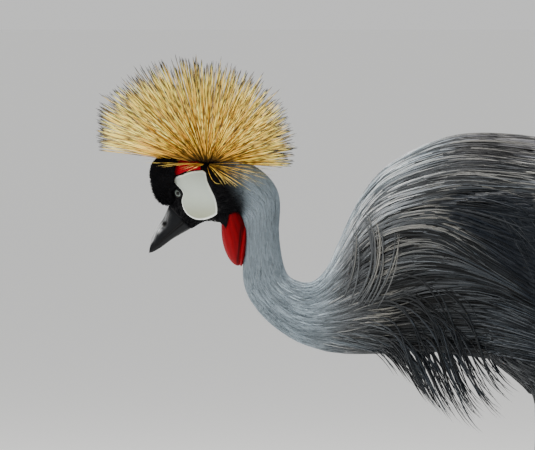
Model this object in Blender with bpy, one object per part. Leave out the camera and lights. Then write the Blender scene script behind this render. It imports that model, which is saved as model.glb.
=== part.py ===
"""Grey crowned crane, life size, standing with its head lowered in front of it.

The bird faces -X with its left side towards -Y, and stands on the plane z = 0.
Flesh is one loft from the bill's base to the rump, parted into head, neck, breast
and torso by thin gaps. Wings, tail, legs, crest and throat pouch meet it face to face.
Lengths are in metres and angles in degrees. An angle round the flesh counts from its
back, with 90 at the left side and 180 underneath.
"""

import math
import random

import bmesh
import bpy
import numpy as np
from mathutils import Matrix, Vector

# Fit between pieces
GAP = 0.0003  # kept between faces that meet
SINK = 0.003  # depth of a feather's root in what it grows from

# Flesh sections from the bill's base to the rump:
# centre x, centre z, half depth, half width, lean of the section's top towards +X
HEAD_SECTIONS = [
    (-0.3575, 0.5183, 0.0186, 0.0100, -42),
    (-0.3487, 0.5316, 0.0263, 0.0150, -46),
    (-0.3373, 0.5500, 0.0415, 0.0205, -30),
    (-0.3150, 0.5505, 0.0395, 0.0225, -19),
]
NECK_SECTIONS = [
    (-0.2873, 0.5534, 0.0331, 0.0218, 2),
    (-0.2623, 0.5334, 0.0273, 0.0206, 43),
    (-0.2605, 0.4970, 0.0203, 0.0190, 79),
    (-0.2572, 0.4496, 0.0250, 0.0205, 74),
    (-0.2415, 0.4260, 0.0282, 0.0238, 54),
    (-0.2148, 0.4103, 0.0344, 0.0295, 25),
    (-0.1906, 0.4109, 0.0463, 0.0389, 9),
]
TORSO_SECTIONS = [
    (-0.1640, 0.4242, 0.0644, 0.0496, -3),
    (-0.1304, 0.4508, 0.0916, 0.0649, -7),
    (-0.0897, 0.4726, 0.1103, 0.0779, -8),
    (-0.0200, 0.4845, 0.1290, 0.0935, -6),
    (0.0620, 0.4785, 0.1356, 0.0991, -5),
    (0.1221, 0.4726, 0.1294, 0.0944, -3),
    (0.1858, 0.4690, 0.1091, 0.0802, 0),
    (0.2448, 0.4696, 0.0781, 0.0590, 4),
    (0.2879, 0.4685, 0.0459, 0.0401, 13),
    (0.3156, 0.4637, 0.0211, 0.0236, 27),
]
TAIL_SECTIONS = [
    (0.3560, 0.4470, 0.0085, 0.0225, 24),
    (0.4050, 0.4250, 0.0040, 0.0235, 24),
    (0.4540, 0.4030, 0.0020, 0.0240, 24),
]
FLESH = HEAD_SECTIONS + NECK_SECTIONS + TORSO_SECTIONS + TAIL_SECTIONS
FULLNESS = 2.15  # exponent of a section's superellipse, 2 being an ellipse
KEEL = 0.07  # how much wider a section is at its back than at its keel

# Where the flesh is parted, counted in sections from the bill's base
HEAD_END = 4.0
NECK_UPPER_END = 6.5
NECK_MIDDLE_END = 8.0
NECK_LOWER_END = 10.4
BREAST_END = 12.6
TORSO_END = 19.6
TAIL_END = len(FLESH) - 1.0

# Bill stations from base to tip: culmen x z, mouth line x z, lower edge x z, half width
BILL = [
    (-0.3699, 0.5322, -0.3522, 0.5124, -0.3454, 0.5043, 0.0098),
    (-0.3755, 0.5192, -0.3625, 0.5040, -0.3560, 0.4985, 0.0078),
    (-0.3820, 0.5085, -0.3722, 0.4957, -0.3668, 0.4920, 0.0061),
    (-0.3888, 0.4965, -0.3830, 0.4863, -0.3790, 0.4830, 0.0043),
    (-0.3922, 0.4850, -0.3900, 0.4800, -0.3878, 0.4780, 0.0024),
    (-0.3935, 0.4757, -0.3925, 0.4772, -0.3915, 0.4768, 0.0008),
]
NOSTRIL = (-0.3757, 0.5105)
NOSTRIL_RADII = (0.0032, 0.0026, 0.0015)

EYE_PLACE = (-0.3592, 0.5474)
EYE_RADIUS = 0.0065
EYE_STANDS_OUT = 0.0017
LID_THICKNESS = 0.0009

CUSHION_CENTRE = (-0.3680, 0.0, 0.5628)
CUSHION_RADII = (0.0240, 0.0165, 0.0300)
CUSHION_LEAN = -12
CUSHION_FULLNESS = 2.5  # exponent of its superellipsoid, 2 is round

CHEEK_RISE = 0.0011
CHEEK_OUTLINE = [
    (-0.3320, 0.5747), (-0.3262, 0.5708), (-0.3210, 0.5553), (-0.3142, 0.5376),
    (-0.3130, 0.5225), (-0.3260, 0.5158), (-0.3376, 0.5158), (-0.3464, 0.5210),
    (-0.3536, 0.5310), (-0.3540, 0.5420), (-0.3562, 0.5500), (-0.3632, 0.5590),
    (-0.3622, 0.5672), (-0.3494, 0.5722),
]
BROW_OUTLINE = [
    (-0.3318, 0.5755), (-0.3342, 0.5840), (-0.3450, 0.5905), (-0.3600, 0.5900),
    (-0.3640, 0.5780), (-0.3624, 0.5682), (-0.3494, 0.5731),
]

POUCH_CENTRE = (-0.2915, 0.0, 0.4960)
POUCH_RADII = (0.0175, 0.0145, 0.0340)
POUCH_FOLD_SHIFT = 0.0105
POUCH_FOLD_RADII = (0.0110, 0.0110, 0.0300)

CREST_ROOT = (-0.3251, 0.0, 0.5830)
CREST_CORE_RADII = (0.0240, 0.0180, 0.0260)
CREST_CORE_RISE = 0.0160
CREST_REACH = [  # degrees from upright towards the forehead, and how long the bristles there are
    (-95, 0.092), (-63, 0.112), (-35, 0.124), (0, 0.133), (30, 0.141), (58, 0.153), (70, 0.149), (90, 0.110),
]
CREST_FAN_FORE_AND_AFT = 86
CREST_FAN_SIDEWAYS = 62
CREST_BRISTLES = 144
BRISTLE_RADIUS = 0.0011

# Folded wing, from wrist to rear: centre x, centre z, half height, y in the middle, y at the edges
WING = [
    (-0.0525, 0.5216, 0.0120, 0.0890, 0.0860),
    (-0.0148, 0.5145, 0.0340, 0.1030, 0.0935),
    (0.0443, 0.4885, 0.0670, 0.1100, 0.0860),
    (0.1033, 0.4708, 0.0800, 0.1070, 0.0790),
    (0.1623, 0.4578, 0.0780, 0.0970, 0.0690),
    (0.2213, 0.4449, 0.0660, 0.0800, 0.0550),
    (0.2744, 0.4342, 0.0500, 0.0620, 0.0430),
    (0.3157, 0.4295, 0.0340, 0.0480, 0.0370),
]
WING_THICKNESS = 0.0160
WING_EDGE_THICKNESS = 0.0040
COVERT_ROOM = 0.0035  # kept clear above the wing's surface for its coverts
SHIELD_END = 5.5
WING_END = len(WING) - 1.0

# Feathers modelled one by one
BREAST_PLUMES = 24
PLUME_TIPS = [(-0.0700, 0.2980), (-0.0040, 0.2640), (0.0340, 0.2960)]  # where the foremost to the hindmost end
# Rows of mantle vanes: section of the root, reach in sections, angles on each side
BREAST_ROWS = [(11.1, 1.0, (34, 60, 86, 110)), (12.0, 1.05, (22, 46, 72))]
TORSO_ROWS = [
    (12.95, 0.55, (66, 90, 112)),
    (13.40, 0.80, (10, 32)),
    (14.10, 0.95, (20, 42)),
    (15.00, 1.20, (8, 30)),
    (16.10, 1.20, (18,)),
    (17.30, 1.15, (8, 28)),
]
# Tiers of wing coverts: station of the root, reach in stations, feathers in the tier
COVERT_TIERS = [(0.60, 1.20, 2), (1.60, 1.35, 4), (2.80, 1.35, 4), (3.95, 1.30, 4)]
FLIGHT_FEATHERS = 7
FLIGHT_TIPS_X = (0.3560, 0.4180)  # of the lowest feather and of the longest
FLIGHT_TIPS_Z = (0.3420, 0.4280)  # of the lowest and of the highest
DRAPED_FEATHERS = [
    ((0.2880, 0.0490, 0.4640), (0.4300, 0.0225, 0.4420)),
    ((0.2900, 0.0470, 0.4700), (0.4460, 0.0140, 0.4340)),
    ((0.2860, 0.0455, 0.4750), (0.4360, 0.0080, 0.4480)),
]
TAIL_ROOT_END = 21.3
TAIL_FEATHERS = 10

# Legs: x, y, z, half thickness fore and aft, half thickness sideways, y being outwards
THIGH = [
    (0.0850, 0.0520, 0.4200, 0.0950, 0.0400),
    (0.0810, 0.0520, 0.3900, 0.0880, 0.0430),
    (0.0780, 0.0520, 0.3650, 0.0730, 0.0410),
    (0.0750, 0.0520, 0.3500, 0.0620, 0.0370),
    (0.0730, 0.0520, 0.3330, 0.0390, 0.0280),
    (0.0700, 0.0520, 0.3150, 0.0170, 0.0150),
    (0.0685, 0.0520, 0.3000, 0.0100, 0.0095),
]
SHANK = [
    (0.0685, 0.0520, 0.3000, 0.0085, 0.0078),
    (0.0676, 0.0514, 0.2700, 0.0068, 0.0064),
    (0.0668, 0.0508, 0.2450, 0.0070, 0.0065),
    (0.0672, 0.0503, 0.2250, 0.0092, 0.0080),
]
TARSUS = [
    (0.0672, 0.0503, 0.2250, 0.0092, 0.0080),
    (0.0680, 0.0500, 0.2150, 0.0098, 0.0086),
    (0.0690, 0.0497, 0.2030, 0.0082, 0.0072),
    (0.0700, 0.0493, 0.1850, 0.0060, 0.0056),
    (0.0715, 0.0485, 0.1200, 0.0055, 0.0052),
    (0.0730, 0.0476, 0.0500, 0.0060, 0.0056),
    (0.0738, 0.0471, 0.0280, 0.0072, 0.0066),
    (0.0740, 0.0470, 0.0190, 0.0076, 0.0070),
]
FOOT_PAD_RADII = (0.0130, 0.0115, 0.0105)
FOOT_PAD_HEIGHT = 0.0075
# Toes: name, length, direction from straight ahead with outwards positive, radius at root and tip
TOES = [
    ("middle", 0.088, 2, 0.0066, 0.0043),
    ("outer", 0.071, 36, 0.0060, 0.0040),
    ("inner", 0.063, -34, 0.0060, 0.0040),
    ("hind", 0.034, 172, 0.0052, 0.0036),
]
TOE_SLICE = 0.0007  # how deep the floor's flat is cut into a toe
CLAW_LENGTH = 0.0135
RIGHT_LEG_BACK = 0.053  # how much farther back the right foot stands

COLOURS = {
    "black_feather": ((0.018, 0.018, 0.020), 0.85),
    "bare_white": ((0.80, 0.81, 0.77), 0.45),
    "bare_red": ((0.55, 0.012, 0.018), 0.40),
    "horn": ((0.060, 0.064, 0.068), 0.35),
    "iris": ((0.52, 0.60, 0.62), 0.08),
    "gold_bristle": ((0.74, 0.50, 0.22), 0.55),
    "pale_grey": ((0.42, 0.46, 0.50), 0.75),
    "slate": ((0.16, 0.18, 0.21), 0.75),
    "white_feather": ((0.82, 0.81, 0.76), 0.75),
    "chestnut": ((0.17, 0.060, 0.032), 0.70),
    "leg_skin": ((0.050, 0.050, 0.054), 0.55),
}


# Scene, materials and meshes


def clear_scene():
    for thing in list(bpy.data.objects):
        bpy.data.objects.remove(thing)


def new_collection(name):
    made = bpy.data.collections.new(name)
    bpy.context.scene.collection.children.link(made)
    return made


def material(name):
    found = bpy.data.materials.get(name)
    if found:
        return found
    colour, roughness = COLOURS[name]
    made = bpy.data.materials.new(name)
    made.use_nodes = True
    shader = made.node_tree.nodes["Principled BSDF"]
    shader.inputs["Base Color"].default_value = (*colour, 1.0)
    shader.inputs["Roughness"].default_value = roughness
    shader.inputs["Metallic"].default_value = 0.0
    return made


def add_object(name, points, faces, finish):
    """A mesh object with all its faces turned outwards."""
    mesh = bpy.data.meshes.new(name)
    mesh.from_pydata([tuple(map(float, p)) for p in points], [], faces)
    work = bmesh.new()
    work.from_mesh(mesh)
    bmesh.ops.recalc_face_normals(work, faces=work.faces)
    work.to_mesh(mesh)
    work.free()
    made = bpy.data.objects.new(name, mesh)
    made.data.materials.append(material(finish))
    bird.objects.link(made)
    return made


def ellipsoid(name, centre, radii, finish, lean=0.0, segments=20, rings=12, fullness=2.0):
    """A sphere primitive made fuller, then stretched to three radii, its top leaning towards +X."""
    work = bmesh.new()
    bmesh.ops.create_uvsphere(work, u_segments=segments, v_segments=rings, radius=1.0)
    if fullness != 2.0:
        for vert in work.verts:
            size = sum(abs(part) ** fullness for part in vert.co) ** (1 / fullness)
            vert.co /= size
    turn = Matrix.Rotation(math.radians(lean), 4, "Y")
    place = Matrix.Translation(Vector(centre)) @ turn @ Matrix.Diagonal((*radii, 1.0))
    bmesh.ops.transform(work, matrix=place, verts=work.verts)
    mesh = bpy.data.meshes.new(name)
    work.to_mesh(mesh)
    work.free()
    made = bpy.data.objects.new(name, mesh)
    made.data.materials.append(material(finish))
    bird.objects.link(made)
    return made


# Joining and cutting


def apply_modifiers(thing):
    graph = bpy.context.evaluated_depsgraph_get()
    mesh = bpy.data.meshes.new_from_object(thing.evaluated_get(graph))
    thing.modifiers.clear()
    thing.data = mesh


def keep_largest_surface(thing):
    """Deletes every closed surface but the one with the largest box, which fills sealed hollows."""
    work = bmesh.new()
    work.from_mesh(thing.data)
    left = set(work.verts)
    islands = []
    while left:
        island, edge = set(), [left.pop()]
        while edge:
            vert = edge.pop()
            island.add(vert)
            for link in vert.link_edges:
                other = link.other_vert(vert)
                if other in left:
                    left.discard(other)
                    edge.append(other)
        islands.append(island)
    islands.sort(key=len)
    scraps = [vert for island in islands[:-1] for vert in island]
    bmesh.ops.delete(work, geom=scraps, context="VERTS")
    work.to_mesh(thing.data)
    work.free()
    if scraps:
        print(f"{thing.name}: {len(islands) - 1} scraps dropped")


def boolean(thing, others, operation, solver="MANIFOLD"):
    """Joins thing with others or cuts them from it in one modifier, and removes them."""
    group = bpy.data.collections.new("pieces")
    for other in others:
        for holder in list(other.users_collection):
            holder.objects.unlink(other)
        group.objects.link(other)
    modifier = thing.modifiers.new(operation.lower(), "BOOLEAN")
    modifier.operation = operation
    modifier.operand_type = "COLLECTION"
    modifier.collection = group
    modifier.solver = solver
    bpy.context.view_layer.update()
    apply_modifiers(thing)
    for other in others:
        bpy.data.objects.remove(other)
    bpy.data.collections.remove(group)
    keep_largest_surface(thing)


def fuse(thing, pieces):
    boolean(thing, pieces, "UNION")


def cut(thing, cutters):
    boolean(thing, cutters, "DIFFERENCE")


def keep_inside(thing, other):
    boolean(thing, [other], "INTERSECT")


# Smooth rows and lofts


def smooth_rows(rows, at):
    """Rows read at a fractional position, on a cubic that passes through every row."""
    rows = np.asarray(rows, float)
    at = min(max(at, 0.0), len(rows) - 1.0)
    slopes = np.gradient(rows, axis=0)
    low = min(int(at), len(rows) - 2)
    part = at - low
    cube, square = part**3, part**2
    return (
        (2 * cube - 3 * square + 1) * rows[low]
        + (cube - 2 * square + part) * slopes[low]
        + (3 * square - 2 * cube) * rows[low + 1]
        + (cube - square) * slopes[low + 1]
    )


def signed_power(value, power):
    return math.copysign(abs(value) ** power, value)


def loft(name, rings, finish):
    """A closed tube through rings of equal count, with flat ends."""
    count = len(rings[0])
    points = np.concatenate(rings)
    faces = [tuple(range(count)), tuple(range(len(points) - count, len(points)))]
    for ring in range(len(rings) - 1):
        for side in range(count):
            here, after = ring * count + side, ring * count + (side + 1) % count
            faces.append((here, here + count, after + count, after))
    return add_object(name, points, faces, finish)


def round_loft(name, stations, finish, sides=14):
    """A round limb through stations of x, y, z, radius fore and aft, radius sideways, level sections."""
    turns = np.linspace(0, 2 * math.pi, sides, endpoint=False)
    rings = []
    for x, y, z, fore, side in stations:
        ring = [(x + fore * math.cos(t), y + side * math.sin(t), z) for t in turns]
        rings.append(np.array(ring))
    return loft(name, rings, finish)


# The flesh


def section_frame(at):
    """Centre, up and rumpward unit vectors, half depth and half width of the flesh there."""
    x, z, depth, width, lean = smooth_rows(FLESH, at)
    lean = math.radians(lean)
    up = np.array([math.sin(lean), 0.0, math.cos(lean)])
    back = np.array([math.cos(lean), 0.0, -math.sin(lean)])
    return np.array([x, 0.0, z]), up, back, depth, width


def flesh_point(at, angle, grow=0.0):
    centre, up, _, depth, width = section_frame(at)
    turn = math.radians(angle)
    rise = signed_power(math.cos(turn), 2 / FULLNESS) * (depth + grow)
    side = signed_power(math.sin(turn), 2 / FULLNESS) * (width + grow)
    side *= 1 + KEEL * math.cos(turn)
    return centre + up * rise - np.array([0.0, side, 0.0])


def flesh_normal(at, angle):
    """Outward unit normal of the flesh."""
    along = flesh_point(at + 0.02, angle) - flesh_point(at - 0.02, angle)
    around = flesh_point(at, angle + 1) - flesh_point(at, angle - 1)
    normal = np.cross(around, along)
    normal /= np.linalg.norm(normal)
    outwards = flesh_point(at, angle) - section_frame(at)[0]
    return normal if normal @ outwards > 0 else -normal


def flesh_place(x, z, lowest, highest):
    """Section position and angle of the left side's point that shows at x, z from the side."""
    best = None
    for at in np.linspace(lowest, highest, 81):
        for angle in np.linspace(5, 175, 86):
            point = flesh_point(at, angle)
            miss = (point[0] - x) ** 2 + (point[2] - z) ** 2
            if best is None or miss < best[0]:
                best = (miss, at, angle)
    return best[1], best[2]


def tube(name, path, radii, finish, sides=10):
    """A round bar along a path with flat ends square to it."""
    path = np.asarray(path, float)
    tangents = np.gradient(path, axis=0)
    rings = []
    for point, tangent, radius in zip(path, tangents, radii):
        tangent /= np.linalg.norm(tangent)
        side = np.cross(tangent, (0.0, 0.0, 1.0))
        side /= np.linalg.norm(side)
        other = np.cross(side, tangent)
        turns = np.linspace(0, 2 * math.pi, sides, endpoint=False) + math.pi / sides
        rings.append(np.array([point + radius * (math.cos(t) * side + math.sin(t) * other) for t in turns]))
    return loft(name, rings, finish)


def flesh_loft(name, start, end, finish, sides=20, per_section=2.0, grow=0.0):
    """The flesh between two section positions, set back by half the gap where it is parted."""
    steps = max(2, round((end - start) * per_section) + 1)
    angles = np.linspace(0, 360, sides, endpoint=False) + 180 / sides
    rings = []
    for at in np.linspace(start, end, steps):
        rings.append(np.array([flesh_point(at, angle, grow) for angle in angles]))
    if not grow:
        if start > 0:
            rings[0] += section_frame(start)[2] * GAP / 2
        if end < TAIL_END:
            rings[-1] -= section_frame(end)[2] * GAP / 2
    return loft(name, rings, finish)


def flesh_cutter(start, end, sides=20, per_section=2.0, grow=GAP):
    """The same flesh a gap larger, reaching from one parting past another."""
    return flesh_loft("cutter", start, end, "slate", sides, per_section, grow)


def ribbon(name, path, across, widths, thickness, finish):
    """A vane along a path, flat underneath with a low ridge on top, that ends in a point.

    across is the direction of its width, and its ridge is on the left of that, seen along the path.
    """
    path, across = np.asarray(path, float), np.asarray(across, float)
    tangents = np.gradient(path, axis=0)
    points = []
    for index in range(len(path) - 1):
        tangent = tangents[index] / np.linalg.norm(tangents[index])
        side = across - tangent * (across @ tangent)
        side /= np.linalg.norm(side)
        face = np.cross(side, tangent) * thickness
        half = side * widths[index] / 2
        for shift in (-half - face * 0.3, half - face * 0.3, face * 0.7):
            points.append(path[index] + shift)
    points.append(path[-1])
    faces = [(0, 1, 2)]
    for ring in range(len(path) - 2):
        left, right, ridge = ring * 3, ring * 3 + 1, ring * 3 + 2
        for edge in (left, right):
            faces.append((edge, edge + 3, ridge + 3))
            faces.append((edge, ridge + 3, ridge))
        faces.append((left, right, right + 3))
        faces.append((left, right + 3, left + 3))
    left = len(points) - 4
    faces += [(left, left + 1, left + 3), (left + 1, left + 2, left + 3), (left + 2, left, left + 3)]
    return add_object(name, points, faces, finish)


def bristle(name, path, radii, finish, sides=3):
    """A tapering bristle of few sides along a path, ending in a point."""
    path = np.asarray(path, float)
    tangents = np.gradient(path, axis=0)
    points = []
    for index in range(len(path) - 1):
        tangent = tangents[index] / np.linalg.norm(tangents[index])
        helper = np.array([0.0, 1.0, 0.0] if abs(tangent[1]) < 0.8 else [1.0, 0.0, 0.0])
        side = np.cross(tangent, helper)
        side /= np.linalg.norm(side)
        other = np.cross(tangent, side)
        for corner in range(sides):
            turn = 2 * math.pi * corner / sides
            out = math.cos(turn) * side + math.sin(turn) * other
            points.append(path[index] + radii[index] * out)
    points.append(path[-1])
    faces = [tuple(range(sides))]
    for ring in range(len(path) - 2):
        for corner in range(sides):
            here, after = ring * sides + corner, ring * sides + (corner + 1) % sides
            faces.append((here, after, after + sides, here + sides))
    last = len(points) - 1 - sides
    faces += [(last + c, last + (c + 1) % sides, last + sides) for c in range(sides)]
    return add_object(name, points, faces, finish)


def lying_vane(at, angle, reach, drift, width, lift, finish, thickness=0.0014):
    """A body feather that grows at a place on the flesh and lies along it towards the rump."""
    path = []
    for share, height in ((-0.04, -SINK), (0.22, 0.8 * lift), (0.66, lift), (1.0, 0.8 * lift)):
        place = at + reach * share, angle + drift * max(share, 0) ** 1.6
        path.append(flesh_point(*place) + flesh_normal(*place) * height)
    across = flesh_point(at, angle + 4) - flesh_point(at, angle - 4)
    widths = [width * share for share in (0.5, 1.0, 0.85)]
    return ribbon("vane", path, across, widths, thickness, finish)


def free_vane(points, across, widths, finish, thickness=0.0014):
    """A feather along a curve through three points, clear of what is under it."""
    first, middle, last = (np.array(point) for point in points)
    path = []
    for share in np.linspace(0, 1, len(widths) + 1):
        ends = (1 - share) * first + share * last
        path.append(ends + 4 * share * (1 - share) * (middle - (first + last) / 2))
    return ribbon("vane", path, across, widths, thickness, finish)


# Head


def bill_ring(station, part, grow):
    """Half a bill section: the upper half rises from the mouth line to the culmen, the lower hangs."""
    culmen, mouth = np.array([station[0], 0.0, station[1]]), np.array([station[2], 0.0, station[3]])
    low, width = np.array([station[4], 0.0, station[5]]), station[6] + grow
    edge = culmen if part == "upper" else low
    if part == "lower":
        mouth = mouth + (low - culmen) / np.linalg.norm(low - culmen) * (GAP - grow)
        width *= 0.94
    rise = edge - mouth
    rise *= 1 + grow / np.linalg.norm(rise)
    ring = []
    for turn in np.linspace(-90, 90, 9):
        turn = math.radians(turn)
        side = signed_power(math.sin(turn), 0.9) * width
        ring.append(mouth + rise * math.cos(turn) ** 0.85 + np.array([0.0, side, 0.0]))
    return np.array(ring)


def bill_half(name, part, grow=0.0):
    rings = []
    for at in np.linspace(0, len(BILL) - 1, 11):
        rings.append(bill_ring(smooth_rows(BILL, at), part, grow))
    rings[0] -= section_frame(0)[2] * (GAP - grow)
    return loft(name, rings, "horn")


def make_bill():
    upper = bill_half("bill_upper", "upper")
    pits = []
    for side in (-1, 1):
        place = (NOSTRIL[0], side * 0.0062, NOSTRIL[1])
        pits.append(ellipsoid("cutter", place, NOSTRIL_RADII, "horn", 40, 10, 8))
    cut(upper, pits)
    bill_half("bill_lower", "lower")


def eye_centre(side):
    at, angle = flesh_place(*EYE_PLACE, 0.5, 3.0)
    centre = flesh_point(at, angle) + flesh_normal(at, angle) * (EYE_STANDS_OUT - EYE_RADIUS)
    return centre * np.array([1, side, 1]), flesh_normal(at, angle) * np.array([1, side, 1])


def eye_clearance(side):
    """A ball that clears an eye and its lids."""
    ball = (EYE_RADIUS + LID_THICKNESS + 2 * GAP,) * 3
    return ellipsoid("cutter", eye_centre(side)[0], ball, "iris", 0, 14, 9)


def make_head():
    head = flesh_loft("head", 0, HEAD_END, "black_feather", per_section=2.5)
    lids, sockets = [], []
    for side, name in ((1, "eye_left"), (-1, "eye_right")):
        centre, normal = eye_centre(side)
        rim = math.sqrt(EYE_RADIUS**2 - (EYE_RADIUS - EYE_STANDS_OUT) ** 2)
        lid_centre = Vector(centre + normal * (EYE_RADIUS - EYE_STANDS_OUT))
        bpy.ops.mesh.primitive_torus_add(
            major_segments=14,
            minor_segments=4,
            major_radius=rim + LID_THICKNESS * 0.6,
            minor_radius=LID_THICKNESS,
            location=lid_centre,
            rotation=Vector(normal).to_track_quat("Z", "Y").to_euler(),
        )
        lid = bpy.context.object
        lids.append(lid)
        ball = (EYE_RADIUS + GAP,) * 3
        sockets.append(ellipsoid("cutter", centre, ball, "iris", 0, 14, 9))
        ellipsoid(name, centre, (EYE_RADIUS,) * 3, "iris", 0, 14, 9)
    fuse(head, lids)
    cut(head, sockets)


def head_cutter(grow=GAP, reach=0.8):
    """The head and the start of the neck, grown, on the same stations as the head itself."""
    return flesh_loft("cutter", 0, HEAD_END + reach, "slate", per_section=2.5, grow=grow)


def prism(name, outline, side, finish, grow=0.0):
    """A side-on outline carried across from near the middle to well past the head."""
    closed = np.array([smooth_rows(outline + outline[:1], at) for at in np.arange(0, len(outline), 0.5)])
    along = np.roll(closed, -1, axis=0) - np.roll(closed, 1, axis=0)
    along /= np.linalg.norm(along, axis=1)[:, None]
    turn = np.sign(np.cross(closed, np.roll(closed, -1, axis=0)).sum())
    closed = closed + grow * turn * np.stack([along[:, 1], -along[:, 0]], axis=1)
    rings = [np.array([(x, -side * depth, z) for x, z in closed]) for depth in (0.004 - grow, 0.050)]
    return loft(name, rings, finish)


def patch_block(outline, side):
    """The room a face patch takes, with a gap all round it."""
    block = prism("cutter", outline, side, "slate", 2 * GAP)
    keep_inside(block, head_cutter(CHEEK_RISE + 2 * GAP))
    return block


def face_patch(name, outline, side, finish):
    """Bare skin that lies on the head inside an outline, a gap above it."""
    patch = prism(name, outline, side, finish)
    keep_inside(patch, head_cutter(CHEEK_RISE))
    cut(patch, [head_cutter(), eye_clearance(side)])
    cut(patch, [cushion_shape("cutter", GAP)])
    if outline is BROW_OUTLINE:
        cut(patch, [prism("cutter", CHEEK_OUTLINE, side, "slate", GAP)])


def cushion_shape(name, grow=0.0):
    radii = tuple(radius + grow for radius in CUSHION_RADII)
    return ellipsoid(name, CUSHION_CENTRE, radii, "black_feather", CUSHION_LEAN, 18, 12, CUSHION_FULLNESS)


def make_cushion():
    cushion = cushion_shape("forehead_cushion")
    cut(cushion, [head_cutter(), bill_half("cutter", "upper", GAP)])
    cut(cushion, [eye_clearance(1), eye_clearance(-1)])


def make_pouch():
    pouch = ellipsoid("throat_pouch", POUCH_CENTRE, POUCH_RADII, "bare_red", -8, 16, 11)
    shift = Vector(POUCH_CENTRE) + Vector((POUCH_FOLD_SHIFT, 0, -0.002))
    fuse(pouch, [ellipsoid("fold", shift, POUCH_FOLD_RADII, "bare_red", -6, 12, 9)])
    cut(pouch, [head_cutter(reach=0)])
    cut(pouch, [flesh_cutter(HEAD_END, NECK_UPPER_END, 18, 3.0)])
    cut(pouch, [flesh_cutter(NECK_UPPER_END, NECK_MIDDLE_END, 18, 3.0)])
    for parting in (HEAD_END, NECK_UPPER_END):
        cut(pouch, [flesh_cutter(parting - 0.1, parting + 0.1, 18, 3.0, 2 * GAP)])


def crest_core(name, grow=0.0):
    centre = np.array(CREST_ROOT) + np.array([0.0, 0.0, CREST_CORE_RISE])
    radii = tuple(radius + grow for radius in CREST_CORE_RADII)
    return ellipsoid(name, centre, radii, "gold_bristle", 0, 18, 12)


def make_crest():
    """Stiff bristles that fan out from the crown over a dense core."""
    root = np.array(CREST_ROOT)
    centre = root + np.array([0.0, 0.0, CREST_CORE_RISE])
    crest = crest_core("crest")
    draw = random.Random(9)
    bristles = []
    for index in range(CREST_BRISTLES):
        share = math.sqrt((index + 0.5) / CREST_BRISTLES)
        turn = index * math.pi * (3 - math.sqrt(5))
        fore = CREST_FAN_FORE_AND_AFT * share * math.cos(turn)
        side = CREST_FAN_SIDEWAYS * share * math.sin(turn)
        lean = math.radians(math.hypot(fore, side))
        out = np.array([fore, side, 0.0]) / max(math.hypot(fore, side), 1e-6)
        way = out * math.sin(lean) + np.array([0.0, 0.0, math.cos(lean)])
        length = np.interp(math.degrees(math.atan2(-way[0], way[2])), *zip(*CREST_REACH))
        length *= draw.uniform(0.90, 1.0)
        inside = (root - centre) / CREST_CORE_RADII
        ray = way / CREST_CORE_RADII
        along, cross = ray @ ray, inside @ ray
        leave = (-cross + math.sqrt(cross**2 - along * (inside @ inside - 1))) / along
        bend = np.array([draw.uniform(-1, 1), draw.uniform(-1, 1), -0.5]) * 0.004
        path = []
        for part in (0.0, 0.5, 1.0):
            distance = leave - SINK + (length - leave + SINK) * part
            path.append(root + way * distance + bend * part**2)
        bristles.append(bristle("bristle", path, (BRISTLE_RADIUS, 0.0008), "gold_bristle"))
    fuse(crest, bristles)
    cut(crest, [head_cutter(reach=1.6)])
    cut(crest, [cushion_shape("cutter", GAP)])
    cut(crest, [patch_block(BROW_OUTLINE, 1), patch_block(BROW_OUTLINE, -1)])


# Neck, breast and torso


def make_neck():
    flesh_loft("neck_upper", HEAD_END, NECK_UPPER_END, "pale_grey", 18, 3.0)
    flesh_loft("neck_middle", NECK_UPPER_END, NECK_MIDDLE_END, "pale_grey", 18, 3.0)
    flesh_loft("neck_lower", NECK_MIDDLE_END, NECK_LOWER_END, "pale_grey", 20, 3.0)


def hanging_plumes():
    """Long lanceolate plumes from the underside of the breast, the hindmost hanging lowest."""
    draw = random.Random(11)
    plumes = []
    for index in range(BREAST_PLUMES):
        side = 1 if index % 2 else -1
        share = (index + 0.5) / BREAST_PLUMES
        at = BREAST_END - 1.75 + 1.45 * share
        angle = 180 - side * (12 + 46 * ((index * 0.382) % 1.0))
        root = flesh_point(at, angle) - flesh_normal(at, angle) * SINK
        tips = np.array(PLUME_TIPS).T
        tip_x = np.interp(share, (0, 0.55, 1), tips[0]) + draw.uniform(-0.010, 0.006)
        tip_z = np.interp(share, (0, 0.55, 1), tips[1]) + draw.uniform(-0.004, 0.016)
        tip = np.array([tip_x, root[1] * draw.uniform(0.5, 0.95), tip_z])
        middle = (root + tip) / 2 + np.array([0.004, 0.0, -0.010 - 0.008 * draw.random()])
        width = draw.uniform(0.006, 0.0085)
        across = flesh_point(at, angle + 4) - flesh_point(at, angle - 4)
        widths = [width * part for part in (0.7, 1.0, 0.7)]
        plumes.append(free_vane((root, middle, tip), across, widths, "pale_grey"))
    return plumes


def mantle_vanes(rows, width, lift, seed, finish):
    """Vanes on both sides of the back, in rows from front to rear."""
    draw = random.Random(seed)
    vanes = []
    for at, reach, angles in rows:
        for angle in angles:
            for side in (1, -1):
                place = at + draw.uniform(-0.05, 0.05)
                drift = side * draw.uniform(2, 8)
                vane_width = width * draw.uniform(0.9, 1.1)
                vanes.append(lying_vane(place, side * angle, reach, drift, vane_width, lift, finish))
    return vanes


def make_breast():
    breast = flesh_loft("breast", NECK_LOWER_END, BREAST_END, "pale_grey", 24, 3.0)
    fuse(breast, mantle_vanes(BREAST_ROWS, 0.0105, 0.0030, 3, "pale_grey"))
    fuse(breast, hanging_plumes())
    cut(breast, [flesh_cutter(BREAST_END, TORSO_END, 24, 2.0)])


def make_torso():
    torso = flesh_loft("torso", BREAST_END, TORSO_END, "slate", 24, 2.0)
    fuse(torso, mantle_vanes(TORSO_ROWS, 0.0130, 0.0030, 5, "slate"))


# Wings and tail


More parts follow.
